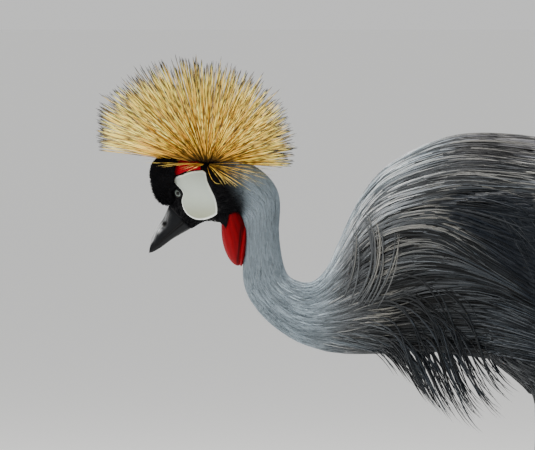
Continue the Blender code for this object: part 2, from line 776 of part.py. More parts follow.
def wing_point(at, across, side, lift=0.0):
    """Point of the folded wing's outer face: at counts stations from the wrist, across runs -1 to 1 upwards."""
    x, z, height, middle, edge = smooth_rows(WING, at)
    out = edge + (middle - edge) * (1 - across**2) + lift
    return np.array([x, -side * out, z + height * across])


def wing_slab(name, start, end, side, tuck, finish, grow=0.0):
    rings = []
    steps = max(2, round((end - start) * 2) + 1)
    spread = np.linspace(-1, 1, 9) * (1 + grow / 0.04)
    for at in np.linspace(start, end, steps):
        outer = [wing_point(at, v, side, grow - tuck) for v in spread]
        inner = []
        for v in spread[::-1]:
            deep = WING_THICKNESS * max(1 - v**2, 0) + WING_EDGE_THICKNESS + grow
            inner.append(wing_point(at, v, side, -deep))
        rings.append(np.array(outer + inner))
    if start > 0 and not grow:
        rings[0][:, 0] += GAP / 2
    if end < WING_END and not grow:
        rings[-1][:, 0] -= GAP / 2
    return loft(name, rings, finish)


def wing_vanes(side):
    """Coverts in tiers from the wrist back, each tier tucked under the one in front of it."""
    draw = random.Random(18 + side)
    vanes = []
    for at, reach, count in COVERT_TIERS:
        for index in range(count):
            across = (2 * (index + 0.5) / count - 1) * 0.80
            height = smooth_rows(WING, at)[2]
            width = 1.9 * height / count
            path = []
            raised = 0.0007 * (index % 2) + draw.uniform(0, 0.0003)
            reach_here = reach * draw.uniform(0.94, 1.0)
            for share, lift in ((-0.06, -SINK), (0.25, 0.0012), (0.68, 0.0018), (1.0, 0.0014)):
                place = at + reach_here * share, across - 0.03 * share
                path.append(wing_point(*place, side, lift + raised))
            aside = wing_point(at, across + 0.1, side) - wing_point(at, across - 0.1, side)
            widths = [width * part for part in (0.7, 1.0, 0.85)]
            vanes.append(ribbon("vane", path, aside, widths, 0.0013, "white_feather"))
    return vanes


def flight_vanes(side):
    """Flight feathers fanned from the wing's rear end, and the inner ones that drape over the tail."""
    vanes = []
    for index in range(FLIGHT_FEATHERS):
        share = index / (FLIGHT_FEATHERS - 1)
        across = -0.72 + 1.40 * share
        root = wing_point(SHIELD_END + 0.75, across, side, -0.0045)
        tip_x = FLIGHT_TIPS_X[0] + (FLIGHT_TIPS_X[1] - FLIGHT_TIPS_X[0]) * math.sin(share * 2.2)
        tip_z = FLIGHT_TIPS_Z[0] + (FLIGHT_TIPS_Z[1] - FLIGHT_TIPS_Z[0]) * share
        tip = np.array([tip_x, -side * (0.0365 + 0.0012 * index), tip_z])
        middle = (root + tip) / 2 + np.array([0.0, -side * 0.001, 0.004])
        vanes.append(free_vane((root, middle, tip), (0.2, 0, 1), (0.016, 0.021, 0.016), "chestnut", 0.0013))
    for (root_x, root_y, root_z), (tip_x, tip_y, tip_z) in DRAPED_FEATHERS:
        root = np.array([root_x, -side * root_y, root_z])
        tip = np.array([tip_x, -side * tip_y, tip_z])
        middle = (root + tip) / 2 + np.array([0.0, -side * 0.004, 0.010])
        across = (0, -side * 0.55, -0.84)
        vanes.append(free_vane((root, middle, tip), across, (0.010, 0.016, 0.012), "chestnut", 0.0013))
    return vanes


def make_wing(side, suffix):
    shield = wing_slab("wing_" + suffix, 0, SHIELD_END, side, 0.0, "white_feather")
    fuse(shield, wing_vanes(side))
    cut(shield, [flesh_cutter(BREAST_END - 1, TORSO_END, 24, 2.0, 2 * GAP)])
    flight = wing_slab("flight_feathers_" + suffix, SHIELD_END, WING_END, side, 0.002, "chestnut")
    fuse(flight, flight_vanes(side))
    cut(flight, [flesh_cutter(BREAST_END - 1, TORSO_END, 24, 2.0, 2 * GAP)])


def make_tail():
    """A short root block with tail feathers in a closed fan, the middle pair on top."""
    tail = flesh_loft("tail", TORSO_END, TAIL_ROOT_END, "chestnut", 16, 2.0)
    feathers = []
    for index in range(TAIL_FEATHERS):
        place = index - (TAIL_FEATHERS - 1) / 2
        out = abs(place) / TAIL_FEATHERS
        root = np.array([0.3400, 0.0022 * place, 0.4550 - 0.006 * out])
        tip = np.array([0.4610 - 0.030 * out, 0.0042 * place, 0.4050 - 0.012 * out])
        middle = (root + tip) / 2 + np.array([0.0, 0.0006 * place, 0.003 - 0.004 * out])
        feathers.append(free_vane((root, middle, tip), (0, 1, 0), (0.014, 0.019, 0.016), "chestnut", 0.0013))
    fuse(tail, feathers)


# Legs


def leg_stations(stations, side, back):
    """The stations moved to one side and slanted back by a share of the way down from the thigh."""
    moved = []
    for x, y, z, fore, across in stations:
        share = min(max((0.420 - z) / 0.400, 0.0), 1.0)
        moved.append((x + back * share, -side * y, z, fore, across))
    return moved


def fine_stations(stations, per_station):
    count = round((len(stations) - 1) * per_station) + 1
    return [tuple(smooth_rows(stations, at)) for at in np.linspace(0, len(stations) - 1, count)]


def make_leg(side, suffix, back):
    def limb(name, stations, finish, per_station, sides):
        rows = [list(row) for row in fine_stations(leg_stations(stations, side, back), per_station)]
        if name != "thigh":
            rows[0][2] -= GAP / 2
        rows[-1][2] += GAP / 2
        return round_loft(name + "_" + suffix, rows, finish, sides)

    thigh = limb("thigh", THIGH, "slate", 1, 16)
    cut(thigh, [flesh_cutter(BREAST_END - 1, TORSO_END, 24, 2.0, 2 * GAP)])
    cut(thigh, [wing_slab("cutter", 0, WING_END, side, 0.0, "slate", COVERT_ROOM)])
    limb("shank", SHANK, "leg_skin", 1.34, 12)
    limb("tarsus", TARSUS, "leg_skin", 1, 12)
    ankle_x, ankle_y, ankle_z, fore, across = leg_stations(TARSUS[-1:], side, back)[0]
    foot = ellipsoid(
        "foot_" + suffix, (ankle_x, ankle_y, FOOT_PAD_HEIGHT), FOOT_PAD_RADII, "leg_skin", 0, 14, 8
    )
    neck = [(ankle_x, ankle_y, 0.008, fore, across), (ankle_x, ankle_y, ankle_z - GAP / 2, fore, across)]
    pieces = [round_loft("ankle", neck, "leg_skin", 12)]
    for toe, length, turn, root_radius, tip_radius in TOES:
        turn = math.radians(turn)
        way = np.array([-math.cos(turn), -side * math.sin(turn), 0.0])
        start = np.array([ankle_x, ankle_y, 0.0])
        path, radii = [], []
        for share in (0.0, 0.33, 0.5, 0.67, 0.84, 1.0):
            swell = 0.0005 * math.cos(share * 6 * math.pi)
            radius = root_radius + (tip_radius - root_radius) * share + swell
            radii.append(radius)
            path.append(start + way * length * share + np.array([0, 0, radius - TOE_SLICE]))
        pieces.append(tube("toe", path, radii, "leg_skin", 9))
        ahead = (path[-1] - path[-2]) / np.linalg.norm(path[-1] - path[-2])
        drop = np.array([0.0, 0.0, 0.0018])
        claw_path = [path[-1] + ahead * (1.5 * GAP + CLAW_LENGTH * t) - drop * t**2 for t in (0, 0.35, 0.7, 1)]
        claw_radii = [tip_radius * 0.72 * share for share in (1.0, 0.86, 0.52)]
        bristle(f"claw_{toe}_{suffix}", claw_path, claw_radii, "horn", 6)
    fuse(foot, pieces)
    corners = [(-1, -1), (1, -1), (1, 1), (-1, 1)]
    floor = [np.array([(x * 0.5, y * 0.5, z) for x, y in corners]) for z in (-0.05, 0.0)]
    cut(foot, [loft("cutter", floor, "leg_skin")])


clear_scene()
bird = new_collection("grey_crowned_crane")
make_bill()
make_head()
for side, suffix in ((1, "left"), (-1, "right")):
    face_patch("cheek_" + suffix, CHEEK_OUTLINE, side, "bare_white")
    face_patch("brow_patch_" + suffix, BROW_OUTLINE, side, "bare_red")
make_cushion()
make_pouch()
make_crest()
make_neck()
make_breast()
make_torso()
make_tail()
for side, suffix in ((1, "left"), (-1, "right")):
    make_wing(side, suffix)
    make_leg(side, suffix, 0.0 if side == 1 else RIGHT_LEG_BACK)
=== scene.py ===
# Grey crowned crane in the photograph's pose: skin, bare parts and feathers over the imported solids
import time

import bpy
import numpy as np
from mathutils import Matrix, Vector


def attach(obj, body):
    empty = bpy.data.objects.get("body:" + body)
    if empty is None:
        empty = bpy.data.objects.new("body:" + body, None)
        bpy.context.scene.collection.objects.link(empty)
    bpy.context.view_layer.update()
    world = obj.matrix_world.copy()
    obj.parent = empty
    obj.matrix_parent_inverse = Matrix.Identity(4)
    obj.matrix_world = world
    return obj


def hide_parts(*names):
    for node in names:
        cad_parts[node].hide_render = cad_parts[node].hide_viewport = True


started = time.time()
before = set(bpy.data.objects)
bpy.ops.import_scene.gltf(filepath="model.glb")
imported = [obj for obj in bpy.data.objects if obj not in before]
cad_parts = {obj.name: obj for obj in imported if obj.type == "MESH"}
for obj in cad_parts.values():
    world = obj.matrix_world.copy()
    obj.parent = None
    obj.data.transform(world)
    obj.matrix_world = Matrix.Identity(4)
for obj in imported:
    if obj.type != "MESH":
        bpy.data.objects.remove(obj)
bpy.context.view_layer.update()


# Prints the seconds since the start beside the stage that is done.
def report(stage):
    print(f"{time.time() - started:6.1f} s  {stage}")


# Sections of the flesh from the bill's base to the tail's end:
# centre x, centre z, half depth, half width, lean of the top towards +X in degrees
fleshRows = np.array([
    (-0.3575, 0.5183, 0.0186, 0.0100, -42), (-0.3487, 0.5316, 0.0263, 0.0150, -46),
    (-0.3373, 0.5500, 0.0415, 0.0205, -30), (-0.3150, 0.5505, 0.0395, 0.0225, -19),
    (-0.2873, 0.5534, 0.0331, 0.0218, 2), (-0.2623, 0.5334, 0.0273, 0.0206, 43),
    (-0.2605, 0.4970, 0.0203, 0.0190, 79), (-0.2572, 0.4496, 0.0250, 0.0205, 74),
    (-0.2415, 0.4260, 0.0282, 0.0238, 54), (-0.2148, 0.4103, 0.0344, 0.0295, 25),
    (-0.1906, 0.4109, 0.0463, 0.0389, 9), (-0.1640, 0.4242, 0.0644, 0.0496, -3),
    (-0.1304, 0.4508, 0.0916, 0.0649, -7), (-0.0897, 0.4726, 0.1103, 0.0779, -8),
    (-0.0200, 0.4845, 0.1290, 0.0935, -6), (0.0620, 0.4785, 0.1356, 0.0991, -5),
    (0.1221, 0.4726, 0.1294, 0.0944, -3), (0.1858, 0.4690, 0.1091, 0.0802, 0),
    (0.2448, 0.4696, 0.0781, 0.0590, 4), (0.2879, 0.4685, 0.0459, 0.0401, 13),
    (0.3156, 0.4637, 0.0211, 0.0236, 27), (0.3560, 0.4470, 0.0085, 0.0225, 24),
    (0.4050, 0.4250, 0.0040, 0.0235, 24), (0.4540, 0.4030, 0.0020, 0.0240, 24),
])
fleshForm = {"fullness": 2.15, "keel": 0.07, "rumpEnd": 20.4, "coatDepth": 0.0024, "faceDepth": 0.0009}

# Folded wing from the wrist back: centre x, centre z, half height, y in the middle, y at the edges
wingRows = np.array([
    (-0.0525, 0.5216, 0.0120, 0.0890, 0.0860), (-0.0148, 0.5145, 0.0340, 0.1030, 0.0935),
    (0.0443, 0.4885, 0.0670, 0.1100, 0.0860), (0.1033, 0.4708, 0.0800, 0.1070, 0.0790),
    (0.1623, 0.4578, 0.0780, 0.0970, 0.0690), (0.2213, 0.4449, 0.0660, 0.0800, 0.0550),
    (0.2744, 0.4342, 0.0500, 0.0620, 0.0430), (0.3157, 0.4295, 0.0340, 0.0480, 0.0370),
])

bothSides = ((1, "left", "Left"), (-1, "right", "Right"))
shades = {
    "black": (0.004, 0.004, 0.005),
    "night": (0.0050, 0.0068, 0.0100),
    "slate": (0.0085, 0.0105, 0.0130),
    "steel": (0.097, 0.104, 0.111),
    "brownGrey": (0.0300, 0.0300, 0.0340),
    "cream": (0.440, 0.420, 0.365),
    "pale": (0.205, 0.250, 0.285),
    "white": (0.780, 0.770, 0.730),
    "straw": (0.560, 0.390, 0.155),
    "gold": (0.820, 0.420, 0.045),
    "paleGold": (0.920, 0.640, 0.150),
    "umber": (0.060, 0.032, 0.012),
    "chestnut": (0.150, 0.048, 0.022),
    "soot": (0.020, 0.018, 0.018),
}


# The named shade as an array.
def shade(name):
    return np.array(shades[name])


# First where share is 0, second where it is 1.
def mix(first, second, share):
    share = np.clip(share, 0, 1)[..., None]
    return first * (1 - share) + second * share


# 0 below low, 1 above high and a smooth S between them.
def ramp(value, low, high):
    part = np.clip((value - low) / (high - low), 0, 1)
    return part * part * (3 - 2 * part)


# Surfaces


# A cubic through every row, read at fractional places: Hermite with the rows' own gradient as slopes.
def readRows(rows, at):
    at = np.clip(np.asarray(at, float), 0, len(rows) - 1)
    low = np.minimum(at.astype(int), len(rows) - 2)
    part = (at - low)[..., None]
    slopes = np.gradient(rows, axis=0)
    return (
        (2 * part**3 - 3 * part**2 + 1) * rows[low]
        + (part**3 - 2 * part**2 + part) * slopes[low]
        + (3 * part**2 - 2 * part**3) * rows[low + 1]
        + (part**3 - part**2) * slopes[low + 1]
    )


# The value's size to a power, with its sign kept.
def signedPower(value, power):
    return np.sign(value) * np.abs(value) ** power


# Superellipse round the section's middle: depth towards its top, width to the side, narrower at the keel.
def fleshPoint(at, angle, grow=0.0):
    at, angle = np.broadcast_arrays(np.asarray(at, float), np.asarray(angle, float))
    x, z, depth, width, lean = np.moveaxis(readRows(fleshRows, at), -1, 0)
    lean, turn = np.radians(lean), np.radians(angle)
    power = 2 / fleshForm["fullness"]
    rise = signedPower(np.cos(turn), power) * (depth + grow)
    side = signedPower(np.sin(turn), power) * (width + grow) * (1 + fleshForm["keel"] * np.cos(turn))
    return np.stack([x + np.sin(lean) * rise, -side, z + np.cos(lean) * rise], axis=-1)


# Each vector over its own length.
def unit(vectors):
    return vectors / np.maximum(np.linalg.norm(vectors, axis=-1, keepdims=True), 1e-12)


# Cross product of the steps round and along the flesh, turned outwards.
def fleshNormal(at, angle):
    along = fleshPoint(np.asarray(at) + 0.03, angle) - fleshPoint(np.asarray(at) - 0.03, angle)
    around = fleshPoint(at, np.asarray(angle) + 1.5) - fleshPoint(at, np.asarray(angle) - 1.5)
    return unit(np.cross(around, along))


# The wing's outer face: across runs from -1 at its lower edge to 1 at its upper edge, bulging in the middle.
def wingPoint(at, across, side, lift=0.0):
    x, z, height, middle, edge = np.moveaxis(readRows(wingRows, at), -1, 0)
    out = edge + (middle - edge) * (1 - across**2) + lift
    return np.stack([x + 0 * out, -side * out, z + height * across], axis=-1)


# A grid of places along a piece and of angles round it, the last angle a step before 360.
def roundGrid(first, last, rows, columns):
    along, around = np.linspace(first, last, rows), np.linspace(0, 360, columns, endpoint=False)
    return np.meshgrid(along, around, indexing="ij")


# The section of the flesh nearest to x, z in side view, of those at the places at: the one whose own upright
# passes nearest. Gives how high up it the point lies, as a share of its depth, and the section's row.
def nearestSection(x, z, at):
    rows = readRows(fleshRows, at)
    lean = np.radians(rows[:, 4])
    offX, offZ = x[..., None] - rows[:, 0], z[..., None] - rows[:, 1]
    best = np.abs(offX * np.cos(lean) - offZ * np.sin(lean)).argmin(axis=-1)
    rise = np.take_along_axis(offX * np.sin(lean) + offZ * np.cos(lean), best[..., None], -1)[..., 0]
    return rise / rows[best, 2], rows[best]


# Half width of the head or neck at x, z from the side: nearest section's superellipse solved for y.
def headSide(x, z, reach=(0.0, 4.8)):
    rise, rows = nearestSection(np.asarray(x), np.asarray(z), np.linspace(*reach, 200))
    rise = np.clip(rise, -0.999, 0.999)
    power = fleshForm["fullness"]
    return rows[..., 3] * (1 - np.abs(rise) ** power) ** (1 / power) * (1 + fleshForm["keel"] * rise)


# Points from a piece's centre in the piece's own directions, forward, sideways and up, turned by its lean.
def leaningOffset(points, centre, lean):
    lean = np.radians(lean)
    off = points - np.array(centre)
    forward = off[..., 0] * np.cos(lean) - off[..., 2] * np.sin(lean)
    upward = off[..., 0] * np.sin(lean) + off[..., 2] * np.cos(lean)
    return np.stack([forward, off[..., 1], upward], axis=-1)


# The way back: forward, sideways and up in the piece's own directions, turned by its lean from its centre.
def leaningPoint(forward, side, upward, centre, lean):
    lean = np.radians(lean)
    x = forward * np.cos(lean) + upward * np.sin(lean)
    z = -forward * np.sin(lean) + upward * np.cos(lean)
    return np.array(centre) + np.stack([x, side, z], axis=-1)


# A quadratic curve in side view, or in space, through its root and tip, drawn towards its middle.
def bentCurve(root, middle, tip, t):
    return (1 - t) ** 2 * root[:, None] + 2 * t * (1 - t) * middle[:, None] + t**2 * tip[:, None]


# Degrees away from the back on either side: 0 at the back, 180 underneath.
def sideAngle(angle):
    return np.abs((angle + 180) % 360 - 180)


# A place on a piece's own unwrap: each coordinate over a little more than its whole span.
def unwrap(first, firstSpan, second, secondSpan=366):
    return np.stack(np.broadcast_arrays(first / firstSpan, second / secondSpan), axis=-1)


# A place on the skin's unwrap: along the bird by section, round it by angle.
def skinPlace(at, angle):
    return unwrap(np.asarray(at), 21.5, np.asarray(angle) % 360)


# Meshes


# Puts a piece into the scene on the root body, and hides the solids that it replaces.
def finishPiece(made, nodes=()):
    bpy.context.scene.collection.objects.link(made)
    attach(made, "root")
    if nodes:
        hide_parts(*nodes)


# A mesh from whole arrays: polygons is a list of arrays of equal-sided faces, places the OFBake map.
def fillMesh(name, points, polygons, tones, places, stuff):
    mesh = bpy.data.meshes.new(name)
    mesh.vertices.add(len(points))
    mesh.vertices.foreach_set("co", np.ascontiguousarray(points, np.float32).ravel())
    loops = np.concatenate([faces.ravel() for faces in polygons]).astype(np.int32)
    sizes = np.concatenate([np.full(len(faces), faces.shape[1]) for faces in polygons])
    starts = np.concatenate([[0], np.cumsum(sizes)[:-1]]).astype(np.int32)
    mesh.loops.add(len(loops))
    mesh.loops.foreach_set("vertex_index", loops)
    mesh.polygons.add(len(sizes))
    mesh.polygons.foreach_set("loop_start", starts)
    mesh.polygons.foreach_set("use_smooth", np.ones(len(sizes), bool))
    mesh.update(calc_edges=True)
    colours = np.concatenate([tones, np.ones((len(tones), 1))], axis=1)
    layer = mesh.color_attributes.new("tone", "FLOAT_COLOR", "POINT")
    layer.data.foreach_set("color", np.ascontiguousarray(colours, np.float32).ravel())
    layer = mesh.uv_layers.new(name="OFBake")
    layer.data.foreach_set("uv", np.ascontiguousarray(places[loops], np.float32).ravel())
    mesh.materials.append(stuff)
    mesh.validate()
    return bpy.data.objects.new(name, mesh)


# Quads of a grid whose last column is joined to the first.
def gridFaces(rows, columns):
    row, column = np.arange(rows - 1)[:, None] * columns, np.arange(columns)[None, :]
    after = (column + 1) % columns
    quads = np.stack([row + column, row + after, row + columns + after, row + columns + column], axis=-1)
    return quads.reshape(-1, 4)


# A closed tube of rings (rows, columns, 3), with a fan of triangles at each end.
def tubeMesh(name, rings, tones, stuff, nodes, places):
    rows, columns = rings.shape[:2]
    ends = np.stack([rings[0].mean(axis=0), rings[-1].mean(axis=0)])
    points = np.concatenate([rings.reshape(-1, 3), ends])
    first, last = rows * columns, rows * columns + 1
    column = np.arange(columns)
    after = (column + 1) % columns
    startFan = np.stack([np.full(columns, first), after, column], axis=-1)
    base = (rows - 1) * columns
    endFan = np.stack([np.full(columns, last), base + column, base + after], axis=-1)
    quads = gridFaces(rows, columns)
    # Turned over when its volume, summed as pyramids from the first end, comes out negative
    corners = points[quads[:, :3]] - ends[0]
    volume = np.einsum("ij,ij->i", corners[:, 0], np.cross(corners[:, 1], corners[:, 2]))
    polygons = [quads, startFan, endFan]
    if volume.sum() < 0:
        polygons = [faces[:, ::-1] for faces in polygons]
    tones, places = tones.reshape(-1, 3), places.reshape(-1, 2)
    tones = np.concatenate([tones, tones[:1], tones[-1:]])
    places = np.concatenate([places, places[:1], places[-1:]])
    finishPiece(fillMesh(name, points, polygons, tones, places, stuff), nodes)


bakePatch = 0.003  # how wide a feather's patch on the OFBake map is


# Feathers as closed three-sided vanes that end in a point.
# path and up are (feathers, stations, 3), width and thick (feathers, stations). Each station but the last
# has a left edge, a right edge and a ridge raised along up. home is each root's place on the skin's unwrap.
def vanesMesh(name, path, up, width, thick, ridgeTone, edgeTone, home, stuff, slot, nodes=()):
    count, stations = path.shape[:2]
    tangent = unit(np.gradient(path, axis=1))
    side = unit(np.cross(tangent, up))
    face = unit(np.cross(side, tangent))
    half = side * width[..., None] / 2
    deep = face * thick[..., None]
    rings = np.stack([path - half, path + half, path + deep], axis=2)[:, :-1]
    points = np.concatenate([rings.reshape(count, -1, 3), path[:, -1:]], axis=1)
    # Each vane's edges take edgeTone and its ridge ridgeTone; every piece passes lighter edges and a darker
    # ridge, a painted highlight along the edges and painted shade along the ridge
    tone = np.stack([edgeTone, edgeTone, ridgeTone], axis=2)[:, :-1]
    tones = np.concatenate([tone.reshape(count, -1, 3), edgeTone[:, -1:]], axis=1)
    # The OFBake patch of one feather, moved to its root's place
    along = np.linspace(0, bakePatch, stations)
    aside = np.array([0.0, bakePatch, bakePatch / 2])
    patch = np.stack(np.broadcast_arrays(along[:-1, None], aside), axis=-1)
    patch = np.concatenate([patch.reshape(-1, 2), [[bakePatch, bakePatch / 2]]])
    places = home[:, None] + patch[None]
    each = points.shape[1]
    last = each - 4
    pairs = ((0, 1), (1, 2), (2, 0))
    ring = np.arange(stations - 2)[:, None] * 3
    quads = np.concatenate([ring + np.array([a + 3, b + 3, b, a]) for a, b in pairs])
    tris = np.array([[1, 2, 0]] + [[last + 3, last + b, last + a] for a, b in pairs])
    first = points[0, :3]
    if np.dot(np.cross(first[1] - first[0], first[2] - first[0]), tangent[0, 0]) < 0:
        quads, tris = quads[:, ::-1], tris[:, ::-1]
    step = (np.arange(count) * each)[:, None, None]
    polygons = [(quads[None] + step).reshape(-1, 4), (tris[None] + step).reshape(-1, 3)]
    points, tones, places = points.reshape(-1, 3), tones.reshape(-1, 3), places.reshape(-1, 2)
    print(f"    {name}: {count} feathers, {count * (6 * stations - 8)} triangles")
    finishPiece(fillMesh(name, points, polygons, tones, places, stuff), nodes)


# Materials


# A material with its shader's roughness and named sockets set.
def newMaterial(name, roughness, **sockets):
    made = bpy.data.materials.new(name)
    made.use_nodes = True
    nodes, links = made.node_tree.nodes, made.node_tree.links
    shader = nodes["Principled BSDF"]
    shader.inputs["Roughness"].default_value = roughness
    for socket, value in sockets.items():
        shader.inputs[socket].default_value = value
    return made, nodes, links, shader


# Colour from the piece's tone attribute, with fine procedural grain and bump on Object coordinates.
def toneMaterial(name, roughness, grain=0.0, grainScale=0.0, bump=0.0, **sockets):
    made, nodes, links, shader = newMaterial(name, roughness, **sockets)
    tone = nodes.new("ShaderNodeAttribute")
    tone.attribute_name = "tone"
    colour = tone.outputs["Color"]
    if grain:
        place = nodes.new("ShaderNodeTexCoord")
        noise = nodes.new("ShaderNodeTexNoise")
        noise.inputs["Scale"].default_value = grainScale
        noise.inputs["Detail"].default_value = 3.0
        links.new(place.outputs["Object"], noise.inputs["Vector"])
        scale = nodes.new("ShaderNodeMapRange")
        scale.inputs["To Min"].default_value = 1 - grain
        scale.inputs["To Max"].default_value = 1 + grain
        links.new(noise.outputs["Fac"], scale.inputs["Value"])
        product = nodes.new("ShaderNodeVectorMath")
        product.operation = "SCALE"
        links.new(colour, product.inputs[0])
        links.new(scale.outputs["Result"], product.inputs["Scale"])
        colour = product.outputs["Vector"]
        if bump:
            lift = nodes.new("ShaderNodeBump")
            lift.inputs["Strength"].default_value = 0.6
            lift.inputs["Distance"].default_value = bump
            links.new(noise.outputs["Fac"], lift.inputs["Height"])
            links.new(lift.outputs["Normal"], shader.inputs["Normal"])
    links.new(colour, shader.inputs["Base Color"])
    return made


plumage = toneMaterial("greyPlumage", 0.50, 0.10, 260, **{"Specular IOR Level": 0.10})
velvet = toneMaterial("blackVelvet", 0.90, 0.10, 300, **{"Specular IOR Level": 0.06})
bristleStuff = toneMaterial("goldBristle", 0.50, **{"Specular IOR Level": 0.20})
bareWhite = toneMaterial("bareWhiteSkin", 0.42, 0.035, 220, 0.00012)
bareRed = toneMaterial("bareRedSkin", 0.62, 0.12, 350, 0.00020, **{"Specular IOR Level": 0.06})
hornStuff = toneMaterial("darkHorn", 0.38, 0.25, 180, 0.00008, **{"Specular IOR Level": 0.10})
eyeStuff = toneMaterial(
    "eyeball", 0.30, **{"Specular IOR Level": 0.15, "Coat Weight": 0.12, "Coat Roughness": 0.04}
)
legStuff = toneMaterial("scaledLeg", 0.48, 0.15, 300, 0.00015)


# Plumage colours


# Dark front of the folded wing in side view, its near black partly the feathers' own slate and partly
# painted
# shade: between an arch at its upper edge and one at its lower edge
shieldForm = {
    "x": (-0.0652, -0.0300, -0.0155, 0.0093, 0.0341, 0.0620, 0.1200),
    "upper": (0.5393, 0.5500, 0.5545, 0.5530, 0.5505, 0.5468, 0.5300),
    "lower": (0.5393, 0.5115, 0.4980, 0.4747, 0.4475, 0.4102, 0.3600),
}


# 1 inside both edges and behind its front end, fading out over their last millimetres.
def shieldShare(x, z):
    over = z - np.interp(x, shieldForm["x"], shieldForm["lower"])
    under = np.interp(x, shieldForm["x"], shieldForm["upper"]) - z
    return ramp(over, -0.003, 0.009) * ramp(under, -0.003, 0.007) * ramp(x, -0.066, -0.055)


# The bird's markings, and the stretches over which they are blended in or out: along the bird in sections,
# down its sides in degrees away from the back
markings = {
    "faceEdge": (-0.3170, 0.575, 0.60),  # x and z of a place on the black face's rear edge, and its lean
    "faceSoft": (-0.002, 0.036),
    "napeDark": 0.24,
    "neckSideDark": 0.10,
    # painted highlight along the top of the shoulder, and painted shade down its side
    "shoulderHighlight": 1.25,
    "duskShade": 0.66,
    "along": {
        "face": (4.2, 5.0), "napeIn": (4.9, 5.7), "napeOut": (6.8, 8.2), "neckSide": (6.6, 8.4),
        "steel": (9.2, 11.4), "shoulderIn": (9.8, 10.8), "shoulderOut": (13.0, 14.2), "dusk": (10.5, 12.3),
        "back": (12.8, 14.4), "flank": (12.3, 14.2), "belly": (11.8, 13.2),
    },
    "down": {
        "neckSide": (20, 70), "steel": (15, 50), "shoulder": (40, 70), "dusk": (55, 88), "back": (30, 62),
        "flank": (32, 66), "belly": (120, 160),
    },
    "hollowShade": (12.9, 0.8, 119, 12, 0.8),  # painted shade in the hollow between shoulder and breast: section and its spread, degrees and their spread, how dark
}


# The markings by place on the flesh, blended in by ramps in turn: black face, pale neck, shoulders light
# above as a painted highlight, darker down the side as painted shade and steel beside, brown grey back,
# slate flanks and belly, the wing's dark front, its slate deepened by painted shade, and painted shade in a
# hollow by bell curves.
def plumageTone(at, angle):
    at, angle = np.broadcast_arrays(at, angle)
    side = sideAngle(angle)
    x, _, z = np.moveaxis(fleshPoint(at, angle), -1, 0)
    along = {name: ramp(at, *stretch) for name, stretch in markings["along"].items()}
    down = {name: ramp(side, *stretch) for name, stretch in markings["down"].items()}
    edgeX, edgeZ, edgeLean = markings["faceEdge"]
    behindFace = x - edgeX - (edgeZ - z) * edgeLean
    black = (1 - ramp(behindFace, *markings["faceSoft"]) ** 1.4) * (1 - along["face"])
    tone = mix(shade("pale"), shade("black"), black)
    tone = tone * (1 - markings["napeDark"] * along["napeIn"] * (1 - along["napeOut"]))[..., None]
    tone = tone * (1 - markings["neckSideDark"] * along["neckSide"] * down["neckSide"])[..., None]
    tone = mix(tone, shade("steel"), along["steel"] * (0.5 + 0.5 * down["steel"]))
    before = 1 - along["shoulderOut"]
    # Lighter along the top of the shoulder as a painted highlight, darker down its side as painted shade
    light = markings["shoulderHighlight"] * along["shoulderIn"] * before * (1 - down["shoulder"])
    dark = markings["duskShade"] * along["dusk"] * before * down["dusk"]
    tone = tone * (1 + light - dark)[..., None]
    tone = mix(tone, shade("brownGrey"), along["back"] * (1 - down["back"]))
    tone = mix(tone, shade("slate"), along["flank"] * down["flank"])
    tone = mix(tone, shade("slate"), along["belly"] * down["belly"])
    tone = mix(tone, shade("night"), 0.9 * shieldShare(x, z))
    # Painted shade in the hollow between the shoulder plumes and the breast
    middleAt, spreadAt, middleSide, spreadSide, dark = markings["hollowShade"]
    hollowShade = np.exp(-(((at - middleAt) / spreadAt) ** 2) - ((side - middleSide) / spreadSide) ** 2)
    return tone * (1 - dark * hollowShade)[..., None]


# Skin


# The flesh's own surface, sunk by the coat's depth along its normals, darker where the plumage is dense:
# painted shade under the feathers.
def makeSkin():
    at, angle = roundGrid(0, fleshForm["rumpEnd"], 360, 112)
    depth = fleshForm["faceDepth"] + (fleshForm["coatDepth"] - fleshForm["faceDepth"]) * ramp(at, 3, 6)
    rings = fleshPoint(at, angle, 0.0) - fleshNormal(at, angle) * depth[..., None]
    tones = plumageTone(at, angle) * (0.85 - 0.60 * ramp(at, 9, 12))[..., None]
    nodes = ("head", "neck_upper", "neck_middle", "neck_lower", "breast", "torso")
    tubeMesh("skin", rings, tones, plumage, nodes, skinPlace(at, angle))


makeSkin()
report("skin")


# Scattering feathers over the flesh


# Random roots, as many on each square millimetre: cells of a grid are drawn by their area, and each root
# falls anywhere in its cell.
def scatterRoots(count, lowest, highest, seed):
    draw = np.random.default_rng(seed)
    at = np.linspace(lowest, highest, 141)
    angle = np.linspace(0, 360, 121)
    middleAt, middleAngle = np.meshgrid((at[1:] + at[:-1]) / 2, (angle[1:] + angle[:-1]) / 2, indexing="ij")
    stepAt = (at[1] - at[0]) / 2
    along = fleshPoint(middleAt + stepAt, middleAngle) - fleshPoint(middleAt - stepAt, middleAngle)
    around = fleshPoint(middleAt, middleAngle + 1.5) - fleshPoint(middleAt, middleAngle - 1.5)
    share = np.linalg.norm(np.cross(along, around), axis=-1)
    share = share.ravel() / share.sum()
    cell = draw.choice(len(share), size=count, p=share)
    at = middleAt.ravel()[cell] + draw.uniform(-stepAt, stepAt, count)
    angle = middleAngle.ravel()[cell] + draw.uniform(-1.5, 1.5, count)
    return at, angle, draw


